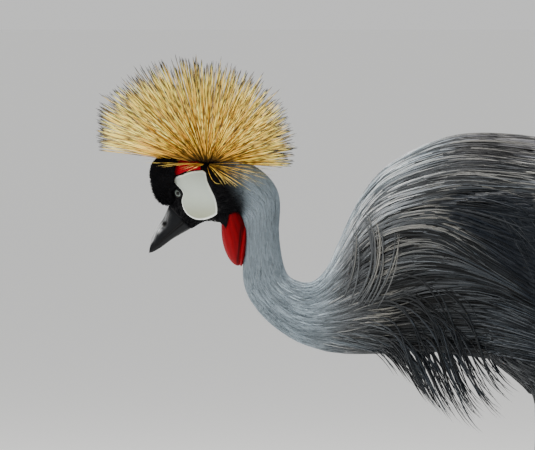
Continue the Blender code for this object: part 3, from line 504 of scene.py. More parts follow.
# Flow of the plumage: each row is one section, each column one line's angle from the back, as it runs
# rumpwards. The third line arches over the bend of the wing and falls, the second stays above the wing.
flow = {
    "sections": (10.5, 11.5, 12.5, 13.5, 14.4, 15.2, 17.0),
    "lines": np.array([
        (0, 12, 45, 63, 98, 138, 180), (0, 14, 50, 67, 103, 144, 180), (0, 19, 54, 71, 111, 150, 180),
        (0, 25, 59, 79, 109, 151, 180), (0, 30, 61, 98, 110, 150, 180), (0, 34, 62, 114, 122, 152, 180),
        (0, 38, 64, 126, 136, 156, 180),
    ], float),
}


# The lines' angles at a section, read between the rows of flow.
def flowAngles(at):
    return readRows(flow["lines"], np.interp(at, flow["sections"], np.arange(7.0)))


# The angles of the line in a column, and of the next one.
def linePair(angles, column):
    pair = np.take_along_axis(angles, np.stack([column, column + 1], axis=-1), -1)
    return pair[..., 0], pair[..., 1]


# Which line passes a place, as a fraction between columns.
def flowLine(at, side):
    angles = flowAngles(at)
    low = np.clip((angles <= side[..., None]).sum(axis=-1) - 1, 0, 5)
    first, second = linePair(angles, low)
    return low + (side - first) / np.maximum(second - first, 1e-6)


# The angle of one line, given as a fraction between columns, at a section.
def flowAngle(at, line):
    low = np.clip(line.astype(int), 0, 5)
    first, second = linePair(flowAngles(at), low)
    return first + (second - first) * (line - low)


# Where points lie across the folded wing, -1 at its lower edge and 1 at its upper, and its face's y there.
def acrossWing(points):
    at = np.interp(points[..., 0], wingRows[:, 0], np.arange(len(wingRows)))
    _, z, height, middle, edge = np.moveaxis(readRows(wingRows, at), -1, 0)
    across = (points[..., 2] - z) / height
    return across, edge + (middle - edge) * (1 - np.minimum(across**2, 1))


# Points moved away from the bird's middle plane, each on its own side, until y is at least out.
def movedOut(points, out):
    moved = points.copy()
    moved[..., 1] = np.where(points[..., 1] < 0, -1, 1) * np.maximum(np.abs(points[..., 1]), out)
    return moved


# Where plumes are kept off the folded wing and the thigh
clearForm = {
    "wingFrom": (-0.100, -0.034),  # x over which the wing's front begins
    "wingBeside": (0.90, 1.35),  # where across the wing they are let go
    "flankFrom": (0.060, 0.120),  # x over which the flank's plumes begin to pass under the wing
    "flankBelow": (-0.5, -0.1),  # and where across it
    "bareAcross": 0.80,  # besideWing: less than this across the wing, behind this x and wider than this y
    "bareBehind": -0.040,
    "bareBeyond": 0.03,
    "thighBeside": (0.9, 1.2),
    "thighTop": (0.425, 0.455),
    "thighEnd": (0.30, 0.32),
    "betweenLegs": 0.035,  # nearer the middle plane than this nothing is moved off the thigh
}


# Points over the folded wing are moved out until they are margin above its face.
def overWing(points, margin):
    x = points[..., 0]
    across, face = acrossWing(points)
    reach = ramp(x, *clearForm["wingFrom"]) * (1 - ramp(np.abs(across), *clearForm["wingBeside"]))
    under = ramp(x, *clearForm["flankFrom"]) * (1 - ramp(across, *clearForm["flankBelow"]))
    reach = reach * (1 - under)
    return movedOut(points, (face + margin) * reach)


# Feathered thigh, from the top: x, y outwards, z, half thickness fore and aft, half thickness sideways
thighRows = np.array([
    (0.0850, 0.0520, 0.4200, 0.0950, 0.0400), (0.0810, 0.0520, 0.3900, 0.0880, 0.0430),
    (0.0780, 0.0520, 0.3650, 0.0730, 0.0410), (0.0750, 0.0520, 0.3500, 0.0620, 0.0370),
    (0.0730, 0.0520, 0.3330, 0.0390, 0.0280), (0.0700, 0.0520, 0.3150, 0.0170, 0.0150),
    (0.0685, 0.0520, 0.3000, 0.0100, 0.0095),
])
rightLegBack = 0.053  # how much farther back the right foot stands


# How far x is moved back on the right leg: a share of rightLegBack that grows from the thigh to the floor.
def legSlant(side, z):
    return (rightLegBack if side < 0 else 0.0) * np.clip((0.420 - z) / 0.400, 0, 1)


# Points over the thigh are moved out until they are margin above its oval, but for those between the legs.
def overThigh(points, margin):
    at = np.interp(-points[..., 2], -thighRows[:, 2], np.arange(len(thighRows)))
    x, y, z, fore, across = np.moveaxis(readRows(thighRows, at), -1, 0)
    x = x + np.where(points[..., 1] > 0, legSlant(-1, z), 0)
    off = np.abs(points[..., 0] - x) / (fore + 0.004)
    reach = (1 - ramp(off, *clearForm["thighBeside"])) * (1 - ramp(points[..., 2], *clearForm["thighTop"]))
    reach = reach * ramp(points[..., 2], *clearForm["thighEnd"])
    out = (y + across * np.sqrt(np.clip(1 - off**2, 0, 1)) + margin) * reach
    outer = np.abs(points[..., 1]) > clearForm["betweenLegs"]
    return np.where(outer[..., None], movedOut(points, out), points)


# True for places on the flesh that the folded wing doesn't cover.
def besideWing(at, angle):
    form, point = clearForm, fleshPoint(at, angle)
    across, _ = acrossWing(point)
    x, y = point[..., 0], np.abs(point[..., 1])
    return (np.abs(across) >= form["bareAcross"]) | (x <= form["bareBehind"]) | (y <= form["bareBeyond"])


# What every layer of feathers has in common
layerForm = {
    "lengths": (0.80, 1.15),
    "widths": (0.75, 1.20),
    "rises": (0.4, 1.3),
    "rootDepth": 0.0018,
    "overWing": (0.0008, 0.0032, -0.03, 0.02),  # gap over the wing, and more before these two x
    "overThigh": 0.0012,
    "strips": 15,  # strips of shared lightness between two lines of the flow
    "alongStrip": 1.3,  # lengths of shared lightness in one section
    "underneath": (110, 145),  # degrees over which strips differ less
    "neckEnd": (10.3, 11.9),  # sections before which they differ less
    "paleLight": (1.6, 3.2),
    "rootToTip": (0.72, 1.12),
}


# Paths on the flesh that keep to the flow's lines, strayed from by drift, and lift off it by rise: they
# start under the skin and come up by a quarter sine.
def lyingPath(at, angle, length, drift, rise, stations):
    speed = np.linalg.norm(fleshPoint(at + 0.05, angle) - fleshPoint(at - 0.05, angle), axis=-1) / 0.1
    share = np.linspace(0, 1, stations)[None]
    signed = (angle + 180) % 360 - 180
    half = np.where(signed < 0, -1, 1)
    atNow = at[:, None] + (length / speed)[:, None] * share
    line = flowLine(at, np.abs(signed))[:, None] + drift[:, None] * share**1.3
    line = np.clip(line, 0.0, 6.0)
    angleNow = half[:, None] * flowAngle(atNow, line)
    up = fleshNormal(atNow, angleNow)
    raised = np.sin(np.pi / 2 * np.minimum(share * 2.2, 1))
    lift = rise[:, None] * raised - layerForm["rootDepth"] * (1 - raised)
    path = fleshPoint(atNow, angleNow) + up * lift[..., None]
    return path, up, atNow, angleNow


# Width along a vane as a share of the whole: a lance swells by a sine, a hair narrows evenly, a round vane
# widens from its quill and closes in an arc.
def profile(stations, shape):
    share = np.linspace(0, 1, stations)
    if shape == "lance":
        return np.sin(np.pi * (0.10 + 0.90 * share)) ** 0.7 * (1 - 0.25 * share)
    if shape == "hair":
        return 1 - 0.85 * share
    return np.minimum(0.55 + 1.6 * share, 1) * np.sqrt(np.clip(1 - share**5, 0, 1))


# A size along the bird: plain, or a start with a gain that grows between two sections.
def graded(size, at):
    start, gain, low, high = size if isinstance(size, tuple) else (size, 0, 0, 1)
    return start + gain * ramp(at, low, high)


# One layer of feathers over a stretch of the flesh: each is a vane along the flow, coloured by the markings
# times its own lightness, which is a random share by contrast times e to the streak of its strip.
def coat(name, count, reach, seed, stations, shape, length, width, rise, contrast, keep=None, stray=0.05,
         streak=0.0, paleShare=0.0, underShade=1.0, depth=0.82, thick=0.12, stuff=plumage, slot="pale_grey",
         mantle=False):
    form = layerForm
    at, angle, draw = scatterRoots(count, *reach, seed)
    if keep is not None:
        chosen = keep(at, angle)
        at, angle = at[chosen], angle[chosen]
    count = len(at)
    side = sideAngle(angle)
    lengths = graded(length, at) * draw.uniform(*form["lengths"], count)
    widths = graded(width, at) * draw.uniform(*form["widths"], count)
    rises = rise * draw.uniform(*form["rises"], count)
    path, up, atNow, angleNow = lyingPath(at, angle, lengths, draw.normal(0, stray, count), rises, stations)
    if mantle:
        usual, more, begins, ends = form["overWing"]
        clear = usual + more * (1 - ramp(path[..., 0], begins, ends)) + rises[:, None]
        path = overThigh(overWing(path, clear), (form["overThigh"] + rises)[:, None])
    span = widths[:, None] * profile(stations, shape)[None]
    # underShade darkens the shoulder's down under the plumes as painted shade; it is 1 for the other layers
    base = plumageTone(atNow, angleNow) * graded(underShade, atNow)[..., None]
    # Plumes of one strip share their lightness, so pale and dark strips alternate, partly the plumes' own
    # tone and partly painted highlight and painted shade, but less so underneath and where the neck widens
    # into the shoulder
    strip = (flowLine(at, side) * form["strips"]).astype(int)
    stretch = ((at + strip * 0.37 % 1) * form["alongStrip"]).astype(int)
    table = np.random.default_rng(seed + 500).uniform(-1, 1, (2, 110, 40))
    calm = 1 - 0.7 * ramp(side, *form["underneath"])
    even = 0.35 + 0.65 * ramp(at, *form["neckEnd"]) if mantle else np.ones(count)
    shared = even * calm * table[(angle % 360 > 180).astype(int), strip, stretch]
    light = (1 + contrast * even * draw.uniform(-1, 1, count)) * np.exp(streak * shared)
    pale = draw.uniform(0, 1, count) < paleShare * (1 + shared) * even
    light = np.where(pale, draw.uniform(*form["paleLight"], count), light)[:, None, None]
    base = base * light * np.linspace(*form["rootToTip"], stations)[None, :, None]
    # Pale plumes, partly lighter plumes and partly painted highlights, are creamy on the shoulder and stay
    # slate on the flank
    flank = ramp(atNow, 12.2, 13.2) * ramp(sideAngle(angleNow), 70, 100)
    base = np.where(pale[:, None, None], mix(base, shade("steel"), 0.30 * flank), base)
    base = np.where(pale[:, None, None], mix(base, shade("cream") * 0.8, 0.33 * (1 - flank)), base)
    # None is pale over the wing's dark front, where the plumes are darkened towards night blue, partly
    # painted shade
    x, _, z = np.moveaxis(fleshPoint(atNow, angleNow), -1, 0)
    base = mix(base, np.minimum(base, shade("night") * 1.6), 0.9 * shieldShare(x, z))
    # Ridge darker by depth and edges lighter: painted shade along each plume's ridge and a painted highlight
    # along its edges
    edge = np.minimum(base * (2.1 - depth), 0.85)
    home = skinPlace(at, angle)
    vanesMesh(name, path, up, span, span * thick + 0.0002, base * depth, edge, home, stuff, slot)


# Head outlines in side view, x and z
cheekOutline = np.array([
    (-0.3302, 0.5748), (-0.3265, 0.5720), (-0.3243, 0.5621), (-0.3193, 0.5513), (-0.3152, 0.5423),
    (-0.3129, 0.5323), (-0.3127, 0.5262), (-0.3136, 0.5224), (-0.3201, 0.5184), (-0.3292, 0.5157),
    (-0.3374, 0.5161), (-0.3446, 0.5193), (-0.3500, 0.5243), (-0.3536, 0.5315), (-0.3547, 0.5396),
    (-0.3530, 0.5451), (-0.3540, 0.5500), (-0.3581, 0.5546), (-0.3626, 0.5590), (-0.3638, 0.5636),
    (-0.3610, 0.5672), (-0.3536, 0.5695), (-0.3482, 0.5720), (-0.3409, 0.5738),
])
browOutline = np.array([
    (-0.3318, 0.5755), (-0.3342, 0.5840), (-0.3450, 0.5905), (-0.3600, 0.5900), (-0.3640, 0.5780),
    (-0.3624, 0.5682), (-0.3494, 0.5731),
])
cushionForm = {
    "centre": (-0.3680, 0.0, 0.5628),
    "radii": (0.0240, 0.0165, 0.0300),
    "lean": -12,
    "fullness": 2.5,
    "pressedIn": 0.5,  # share of its width that is left under cheek, brow and eye
    "feathers": 7600,
    "featherLength": (0.0020, 0.0036),
    "featherWidth": (0.0006, 0.0010),
    "lie": (0.45, 0.0, 0.75),  # the way its feathers lean, back and up
}
eyeForm = {
    "place": (-0.3592, 0.5474),
    "radius": 0.0065,
    "standsOut": 0.0017,
    "bare": 0.0062,  # no feathers of the face nearer than this
    "socket": 0.0068,  # the cushion is pressed in nearer than this
    "velvetFrom": 0.0078,  # no velvet of the cushion nearer than this
    "opening": (0.0047, 0.0032),  # half its length along the head and half its height
    "openingSlant": (0.80, 0.0, -0.60),
    "lidRadius": 0.0009,
    "iris": (0.090, 0.108, 0.098),
    "irisFrom": (18.5, 21.5),  # degrees from the line of sight
    "irisTo": (46, 52),
}


# True where a ray towards +X crosses the closed outline an odd number of times.
def insideOutline(x, z, outline):
    after = np.roll(outline, -1, axis=0)
    x, z = np.asarray(x)[..., None], np.asarray(z)[..., None]
    crosses = (outline[:, 1] > z) != (after[:, 1] > z)
    rise = after[:, 1] - outline[:, 1]
    slope = (after[:, 0] - outline[:, 0]) / np.where(rise == 0, 1e-9, rise)
    hit = x < outline[:, 0] + slope * (z - outline[:, 1])
    return (crosses & hit).sum(axis=-1) % 2 == 1


# How far x, z are from the eye in side view.
def fromEye(x, z):
    return np.hypot(x - eyeForm["place"][0], z - eyeForm["place"][1])


# True under the cheek's or the brow's outline.
def underPatch(x, z):
    return insideOutline(x, z, cheekOutline) | insideOutline(x, z, browOutline)


# Below 1 inside the forehead cushion: the sum of each offset over its radius, to the power of its fullness.
def cushionShare(points):
    local = leaningOffset(points, cushionForm["centre"], cushionForm["lean"])
    return (np.abs(local / np.array(cushionForm["radii"])) ** cushionForm["fullness"]).sum(axis=-1)


# True for places on the face that feathers cover: off the cheek, brow and eye and outside the cushion.
def onFeathers(at, angle):
    point = fleshPoint(at, angle)
    x, z = point[..., 0], point[..., 2]
    return ~(underPatch(x, z) | (cushionShare(point) < 0.9) | (fromEye(x, z) < eyeForm["bare"]))


# Layers from the face to the rump. reach is in sections. A length or width with four numbers is graded.
plumageLayers = {
    "faceFeathers": {
        "count": 8200, "reach": (0.0, 4.6), "seed": 21, "stations": 4, "shape": "hair",
        "length": (0.0042, 0.0020, 2, 4), "width": 0.0011, "rise": 0.0004,
        "keep": onFeathers, "contrast": 0.25, "stuff": velvet, "slot": "black_feather",
    },
    "neckFeathersUpper": {
        "count": 9600, "reach": (4.0, 7.6), "seed": 22, "stations": 4, "shape": "hair",
        "length": (0.014, 0.010, 4, 7), "width": 0.0012, "rise": 0.0004,
        "keep": onFeathers, "contrast": 0.24, "depth": 0.85,
    },
    "neckFeathersLower": {
        "count": 10000, "reach": (7.2, 10.9), "seed": 23, "stations": 4, "shape": "hair",
        "length": (0.022, 0.018, 7.5, 11), "width": (0.0014, 0.0010, 8, 11), "rise": 0.0008,
        "contrast": 0.45, "streak": 0.55, "depth": 0.50,
    },
    "shoulderDown": {
        "count": 3600, "reach": (9.9, 14.6), "seed": 24, "stations": 6, "shape": "lance",
        "length": (0.030, 0.028, 10, 12.4), "width": (0.0024, 0.0014, 10, 12), "rise": 0.0002,
        "keep": besideWing, "contrast": 0.4, "streak": 0.5, "depth": 0.5,
        "underShade": (0.78, -0.42, 10.4, 12.2), "mantle": True,
    },
    "shoulderPlumes": {
        "count": 3400, "reach": (9.8, 13.7), "seed": 25, "stations": 10, "shape": "lance",
        "length": (0.044, 0.062, 10, 12.2), "width": (0.0016, 0.0008, 10, 12), "rise": 0.0016,
        "stray": 0.10, "contrast": 0.80, "paleShare": 0.24, "streak": 1.3, "depth": 0.30, "thick": 0.25,
        "mantle": True,
    },
    "backPlumes": {
        "count": 4100, "reach": (12.9, 16.7), "seed": 26, "stations": 8, "shape": "lance",
        "length": 0.092, "width": 0.0028, "rise": 0.0008,
        "keep": besideWing, "stray": 0.06, "contrast": 0.75, "paleShare": 0.18, "streak": 1.3, "depth": 0.35,
        "thick": 0.2, "slot": "slate", "mantle": True,
    },
    "rumpPlumes": {
        "count": 3000, "reach": (16.2, 20.8), "seed": 27, "stations": 7, "shape": "lance",
        "length": (0.090, -0.045, 17, 20), "width": 0.0054, "rise": 0.0010,
        "keep": besideWing, "contrast": 0.4, "streak": 0.5, "depth": 0.55, "thick": 0.14, "slot": "slate",
        "mantle": True,
    },
}
for name, layer in plumageLayers.items():
    coat(name, **layer)
report("body plumage")


# Plumes that hang from the breast
hangingForm = {
    "locks": 21,
    "inEach": 10,
    "rootSections": (10.6, 13.0),
    "rootAngles": (112, 150),
    # tips in side view from the breast back, x and z
    "tips": ((-0.0840, 0.3440), (-0.0640, 0.3290), (-0.0450, 0.3020), (-0.0380, 0.2740), (-0.0150, 0.2580),
             (0.0093, 0.2560), (0.0292, 0.2560), (0.0366, 0.2860), (0.0480, 0.3080)),
    # degrees below the level at which the first and the last tips arrive
    "arriving": (58, 30),
    "width": 0.0024,
    "stations": 14,
    "clear": 0.0030,
    "pale": (0.22, 4.2),  # how many are pale, as painted highlights, and how light
}


# Points moved out from the middle of the section nearest to them until they are margin outside its oval.
def clearOfFlesh(points, margin):
    rise, rows = nearestSection(points[..., 0], points[..., 2], np.linspace(8, 20, 97))
    x, z, _, width, _ = np.moveaxis(rows, -1, 0)
    side = points[..., 1] / (width * (1 + fleshForm["keel"] * np.clip(rise, -1, 1)))
    power = fleshForm["fullness"]
    share = (np.abs(rise) ** power + np.abs(side) ** power) ** (1 / power)
    middle = np.stack([x, 0 * share, z], axis=-1)
    grow = np.maximum((1 + margin / width) / np.maximum(share, 0.3), 1)
    return middle + (points - middle) * grow[..., None]


# Cubic curves in loose locks: each leaves the breast along the flow and arrives at its free tip on a slope.
def makeHangingPlumes():
    form, draw = hangingForm, np.random.default_rng(31)
    lock = np.repeat(np.arange(form["locks"]), form["inEach"])
    count = len(lock)
    share = ((np.arange(form["locks"]) + draw.uniform(0.2, 0.8, form["locks"])) / form["locks"])[lock]
    low, high = form["rootSections"]
    at = low + (high - low) * share + draw.normal(0, 0.30, count)
    half = np.where(lock % 2 == 0, -1, 1)
    angle = half * (draw.uniform(*form["rootAngles"], form["locks"])[lock] + draw.normal(0, 7, count))
    root = fleshPoint(at, angle, -0.002)
    tips = np.array(form["tips"])
    place = np.clip(share + draw.normal(0, 0.022, count), 0, 1) * (len(tips) - 1)
    tipX = np.interp(place, np.arange(len(tips)), tips[:, 0])
    tipZ = np.interp(place, np.arange(len(tips)), tips[:, 1])
    tipY = root[:, 1] * draw.uniform(0.25, 0.8, form["locks"])[lock] + draw.normal(0, 0.0015, count)
    tip = np.stack([tipX, tipY, tipZ], axis=-1)
    length = draw.uniform(0.86, 1.0, form["locks"])[lock] * draw.uniform(0.10, 1.0, count) ** 0.28
    tip = root + (tip - root) * length[:, None]
    reach = np.linalg.norm(tip - root, axis=1)[:, None]
    leave = root + unit(fleshPoint(at + 0.3, angle) - fleshPoint(at - 0.3, angle)) * reach * 0.50
    slope = np.radians(form["arriving"][0] + (form["arriving"][1] - form["arriving"][0]) * share)
    falling = np.stack([np.cos(slope), 0 * slope, -np.sin(slope)], axis=-1)
    arrive = tip - unit(falling + draw.normal(0, 0.06, (count, 3))) * reach * 0.36
    t = np.linspace(0, 1, form["stations"])[None, :, None]
    path = (1 - t) ** 3 * root[:, None] + 3 * t * (1 - t) ** 2 * leave[:, None]
    path = path + 3 * t**2 * (1 - t) * arrive[:, None] + t**3 * tip[:, None]
    free = clearOfFlesh(path, form["clear"])
    path = path + (free - path) * np.clip(t * 8, 0, 1)
    up = np.broadcast_to(fleshNormal(at, angle)[:, None] + np.array([0.0, 0.0, 0.2]), path.shape)
    span = draw.uniform(0.5, 1.25, count)[:, None] * form["width"] * profile(form["stations"], "lance")[None]
    # The pale ones stand for painted highlights on the dark plumes
    paleCount, paleLight = form["pale"]
    pale = draw.uniform(0, 1, count) < paleCount
    light = np.where(pale, paleLight, draw.uniform(0.6, 1.8, count))[:, None, None]
    # As light as the plumage round it at the root, then slate
    near = plumageTone(at, angle)[:, None] * 0.8 * np.minimum(light, 1.2) + 0 * path
    base = mix(near, shade("slate") * 0.9 * light + 0 * path, ramp(t[..., 0] + 0 * span, 0.1, 0.5))
    vanesMesh("breastPlumes", path, up, span, span * 0.25 + 0.0002, base * 0.4, base * 1.5,
              skinPlace(at, angle), plumage, "pale_grey")


makeHangingPlumes()


# Forehead cushion


# Superellipsoid leaning forward: each axis is its radius times a signed power of a sphere's sine or cosine.
def cushionPoint(across, around, grow=0.0):
    a, b = np.radians(across), np.radians(around)
    radii = np.array(cushionForm["radii"]) + grow
    power = 2 / cushionForm["fullness"]
    forward = radii[0] * signedPower(np.sin(a), power) * signedPower(np.cos(b), power)
    side = radii[1] * signedPower(np.sin(a), power) * signedPower(np.sin(b), power)
    upward = radii[2] * signedPower(np.cos(a), power)
    points = leaningPoint(forward, side, upward, cushionForm["centre"], cushionForm["lean"])
    # Under the cheek and brow and round the eye it is pressed in
    x, z = points[..., 0], points[..., 2]
    pressed = underPatch(x, z) | (fromEye(x, z) < eyeForm["socket"])
    points[..., 1] = points[..., 1] * np.where(pressed, cushionForm["pressedIn"], 1.0)
    return points


# Below 1 inside the head: each point against the nearest section's superellipse.
def fleshShare(points):
    rise, rows = nearestSection(points[:, 0], points[:, 2], np.linspace(0, 5, 61))
    power = fleshForm["fullness"]
    return (np.abs(rise) ** power + np.abs(points[:, 1] / rows[:, 3]) ** power) ** (1 / power)


# The cushion and its velvet: short vanes from random places on the ball that lean up and back.
def makeCushion():
    across, around = roundGrid(1, 179, 60, 80)
    rings = cushionPoint(across, around, -0.0012)
    tones = np.broadcast_to(shade("black") * 0.6, rings.shape)
    places = unwrap(across, 182, around)
    tubeMesh("foreheadCushion", rings, tones, velvet, ("forehead_cushion",), places)
    draw = np.random.default_rng(41)
    count = cushionForm["feathers"]
    across = np.degrees(np.arccos(draw.uniform(-1, 1, count)))
    around = draw.uniform(0, 360, count)
    root = cushionPoint(across, around, -0.0014)
    x, z = root[:, 0], root[:, 2]
    keep = (fleshShare(root) > 0.9) & (fromEye(x, z) > eyeForm["velvetFrom"]) & ~underPatch(x, z)
    across, around, root = across[keep], around[keep], root[keep]
    count = len(root)
    out = unit(cushionPoint(across, around, 0.001) - cushionPoint(across, around, 0.0))
    lie = np.array(cushionForm["lie"])
    lie = lie - out * (out @ lie)[:, None]
    way = unit(out * 0.8 + lie + draw.normal(0, 0.18, (count, 3)))
    share = np.linspace(0, 1, 4)[None, :, None]
    length = draw.uniform(*cushionForm["featherLength"], count)[:, None, None]
    path = root[:, None] + way[:, None] * length * share
    up = np.broadcast_to(out[:, None], path.shape)
    span = draw.uniform(*cushionForm["featherWidth"], count)[:, None] * profile(4, "hair")[None]
    base = np.broadcast_to(shade("black"), path.shape) * draw.uniform(0.5, 1.8, count)[:, None, None]
    home = unwrap(across, 182, around)
    vanesMesh("cushionVelvet", path, up, span, span * 0.3, base, base * 1.5, home, velvet, "black_feather")


makeCushion()
report("cushion")


# Bare skin of cheek and brow


# A cubic through the outline's points, closed on itself.
def smoothOutline(outline, count):
    closed = np.concatenate([outline, outline[:1]])
    at = np.linspace(0, len(outline), count, endpoint=False)
    return readRows(closed, at)


patchForm = {
    "round": 160,
    "edgeWidth": 0.0016,  # over which the edge is rounded, and where the rim is highest
    "rim": 0.00035,
    "rimWidth": 0.0009,
    "tucked": 0.0022,  # how far the last step sinks into the feathers
}


# A shield of skin: rays from its middle to its outline, raised in a quarter circle at the edge, with a
# rolled rim as a bell curve, and sunk at the very end.
def makePatch(name, outline, side, rise, tone, stuff, nodes):
    form = patchForm
    rim = smoothOutline(outline, form["round"])
    middle = rim.mean(axis=0)
    share = np.concatenate([np.linspace(0.02, 0.9, 26), np.linspace(0.92, 1.0, 12)])[:, None, None]
    flat = middle + (rim[None] - middle) * share
    x, z = flat[..., 0], flat[..., 1]
    reach = np.linalg.norm(rim - middle, axis=-1)[None] * (1 - share[..., 0])
    raised = rise * np.sqrt(np.clip(1 - np.clip(1 - reach / form["edgeWidth"], 0, 1) ** 2, 0, 1))
    raised = raised - form["tucked"] * np.clip(1 - reach / 0.0004, 0, 1)
    raised = raised + form["rim"] * np.exp(-((reach - form["edgeWidth"]) / form["rimWidth"]) ** 2)
    rings = np.stack([x, -side * (headSide(x, z) + raised), z], axis=-1)
    level = (z - z.min()) / (z.max() - z.min())
    tones = tone(level, share[..., 0] + 0 * level)
    places = np.stack([(x + 0.38) * 8, (z - 0.50) * 8], axis=-1)
    back = rings[-1:] * np.array([1, 0, 1]) + np.array([0, -side * 0.002, 0])
    rings = np.concatenate([rings, back])
    tones = np.concatenate([tones, tones[-1:]])
    places = np.concatenate([places, places[-1:]])
    tubeMesh(name, rings, tones, stuff, nodes, places)


# Yellowish below, whiter above, with a white line along the rim.
def cheekTone(level, share):
    lower = np.array((0.211, 0.230, 0.155))
    upper = np.array((0.346, 0.392, 0.346))
    rim = np.array((0.78, 0.82, 0.79))
    return mix(mix(lower, upper, ramp(level, 0.0, 0.6)), rim, ramp(share, 0.90, 0.985) * 0.8)


# Red, a little lighter above.
def browTone(level, share):
    return mix(np.array((0.27, 0.002, 0.010)), np.array((0.38, 0.003, 0.016)), level)


for side, suffix, label in bothSides:
    makePatch("cheek" + label, cheekOutline, side, 0.0011, cheekTone, bareWhite,
              ("cheek_" + suffix,))
    makePatch("brow" + label, browOutline, side, 0.0009, browTone, bareRed,
              ("brow_patch_" + suffix,))


# Throat pouch
pouchForm = {
    "centre": (-0.2925, 0.0, 0.4970),
    "radii": (0.0148, 0.0174, 0.0358),
    "lean": -7,
    "foldCentre": (-0.2822, 0.0, 0.4850),
    "foldRadii": (0.0042, 0.0166, 0.0245),
    "foldLean": 6,
    "fullness": 2.6,
    "deep": (0.040, 0.0002, 0.0012),
    "bright": (0.165, 0.0003, 0.0035),
}


# A bag: a ball's rings, full above and pointed below, with fine creases down it as sines round it that sway.
def pouchRings(centre, radii, lean, wrinkle, seed):
    across, around = roundGrid(2, 178, 80, 100)
    a, b = np.radians(across), np.radians(around)
    folds = np.sin(11 * b + 3 * np.sin(2.2 * a + seed))
    crease = 1 + wrinkle * folds * np.sin(a) ** 2
    crease += wrinkle * 0.5 * np.sin(23 * b + 5 * np.cos(1.7 * a))
    power = 2 / pouchForm["fullness"]
    wide = np.where(a < np.pi / 2, signedPower(np.sin(a), power), np.sin(a) ** 1.15)
    forward = radii[0] * wide * np.cos(b) * crease
    side = radii[1] * wide * np.sin(b) * crease
    rings = leaningPoint(forward, side, radii[2] * np.cos(a), centre, lean)
    deep, bright = np.array(pouchForm["deep"]), np.array(pouchForm["bright"])
    # Darker in the creases, as painted shade, and darker towards the bag's rear side
    tones = mix(deep, bright, 0.62 + 0.10 * folds - 0.45 * np.cos(b) * np.sin(a))
    return rings, tones, unwrap(across, 182, around)


# The bag and the fold behind it, with painted shade in the groove where they meet.
def makePouch():
    form = pouchForm
    rings, tones, places = pouchRings(form["centre"], form["radii"], form["lean"], 0.010, 0.3)
    near = leaningOffset(rings, form["foldCentre"], form["foldLean"]) / np.array(form["foldRadii"])
    groove = np.exp(-(((near[..., 0] + 1.1) / 0.30) ** 2)) * (1 - ramp(np.abs(near[..., 2]), 0.7, 1.1))
    tones = tones * (1 - 0.75 * groove)[..., None]
    tubeMesh("throatPouch", rings, tones, bareRed, ("throat_pouch",), places)
    rings, tones, places = pouchRings(form["foldCentre"], form["foldRadii"], form["foldLean"], 0.006, 1.9)
    tubeMesh("throatPouchFold", rings, tones * 1.15, bareRed, (), places)


makePouch()
report("bare parts")


# Bill: culmen x z, mouth line x z, lower edge x z, half width
billRows = np.array([
    (-0.3699, 0.5322, -0.3522, 0.5124, -0.3454, 0.5043, 0.0098),
    (-0.3755, 0.5192, -0.3625, 0.5040, -0.3560, 0.4985, 0.0078),
    (-0.3820, 0.5085, -0.3722, 0.4957, -0.3668, 0.4920, 0.0061),
    (-0.3888, 0.4965, -0.3830, 0.4863, -0.3790, 0.4830, 0.0043),
    (-0.3922, 0.4850, -0.3900, 0.4800, -0.3878, 0.4780, 0.0024),
    (-0.3935, 0.4757, -0.3925, 0.4772, -0.3915, 0.4768, 0.0008),
])
billForm = {
    "nostril": (-0.3748, 0.5112),
    "nostrilDepth": 0.0022,
    "nostrilRadius": 0.0023,
    "along": 150,
    "arc": 61,  # places round the outer side of one half
    "inside": (89.6, 88, 84, *np.linspace(75, -75, 9), -84, -88, -89.6),  # and back along the mouth
    "dark": (0.0035, 0.0040, 0.0050),
    # colour of the painted highlight
    "glossHighlight": (0.62, 0.64, 0.66),
}


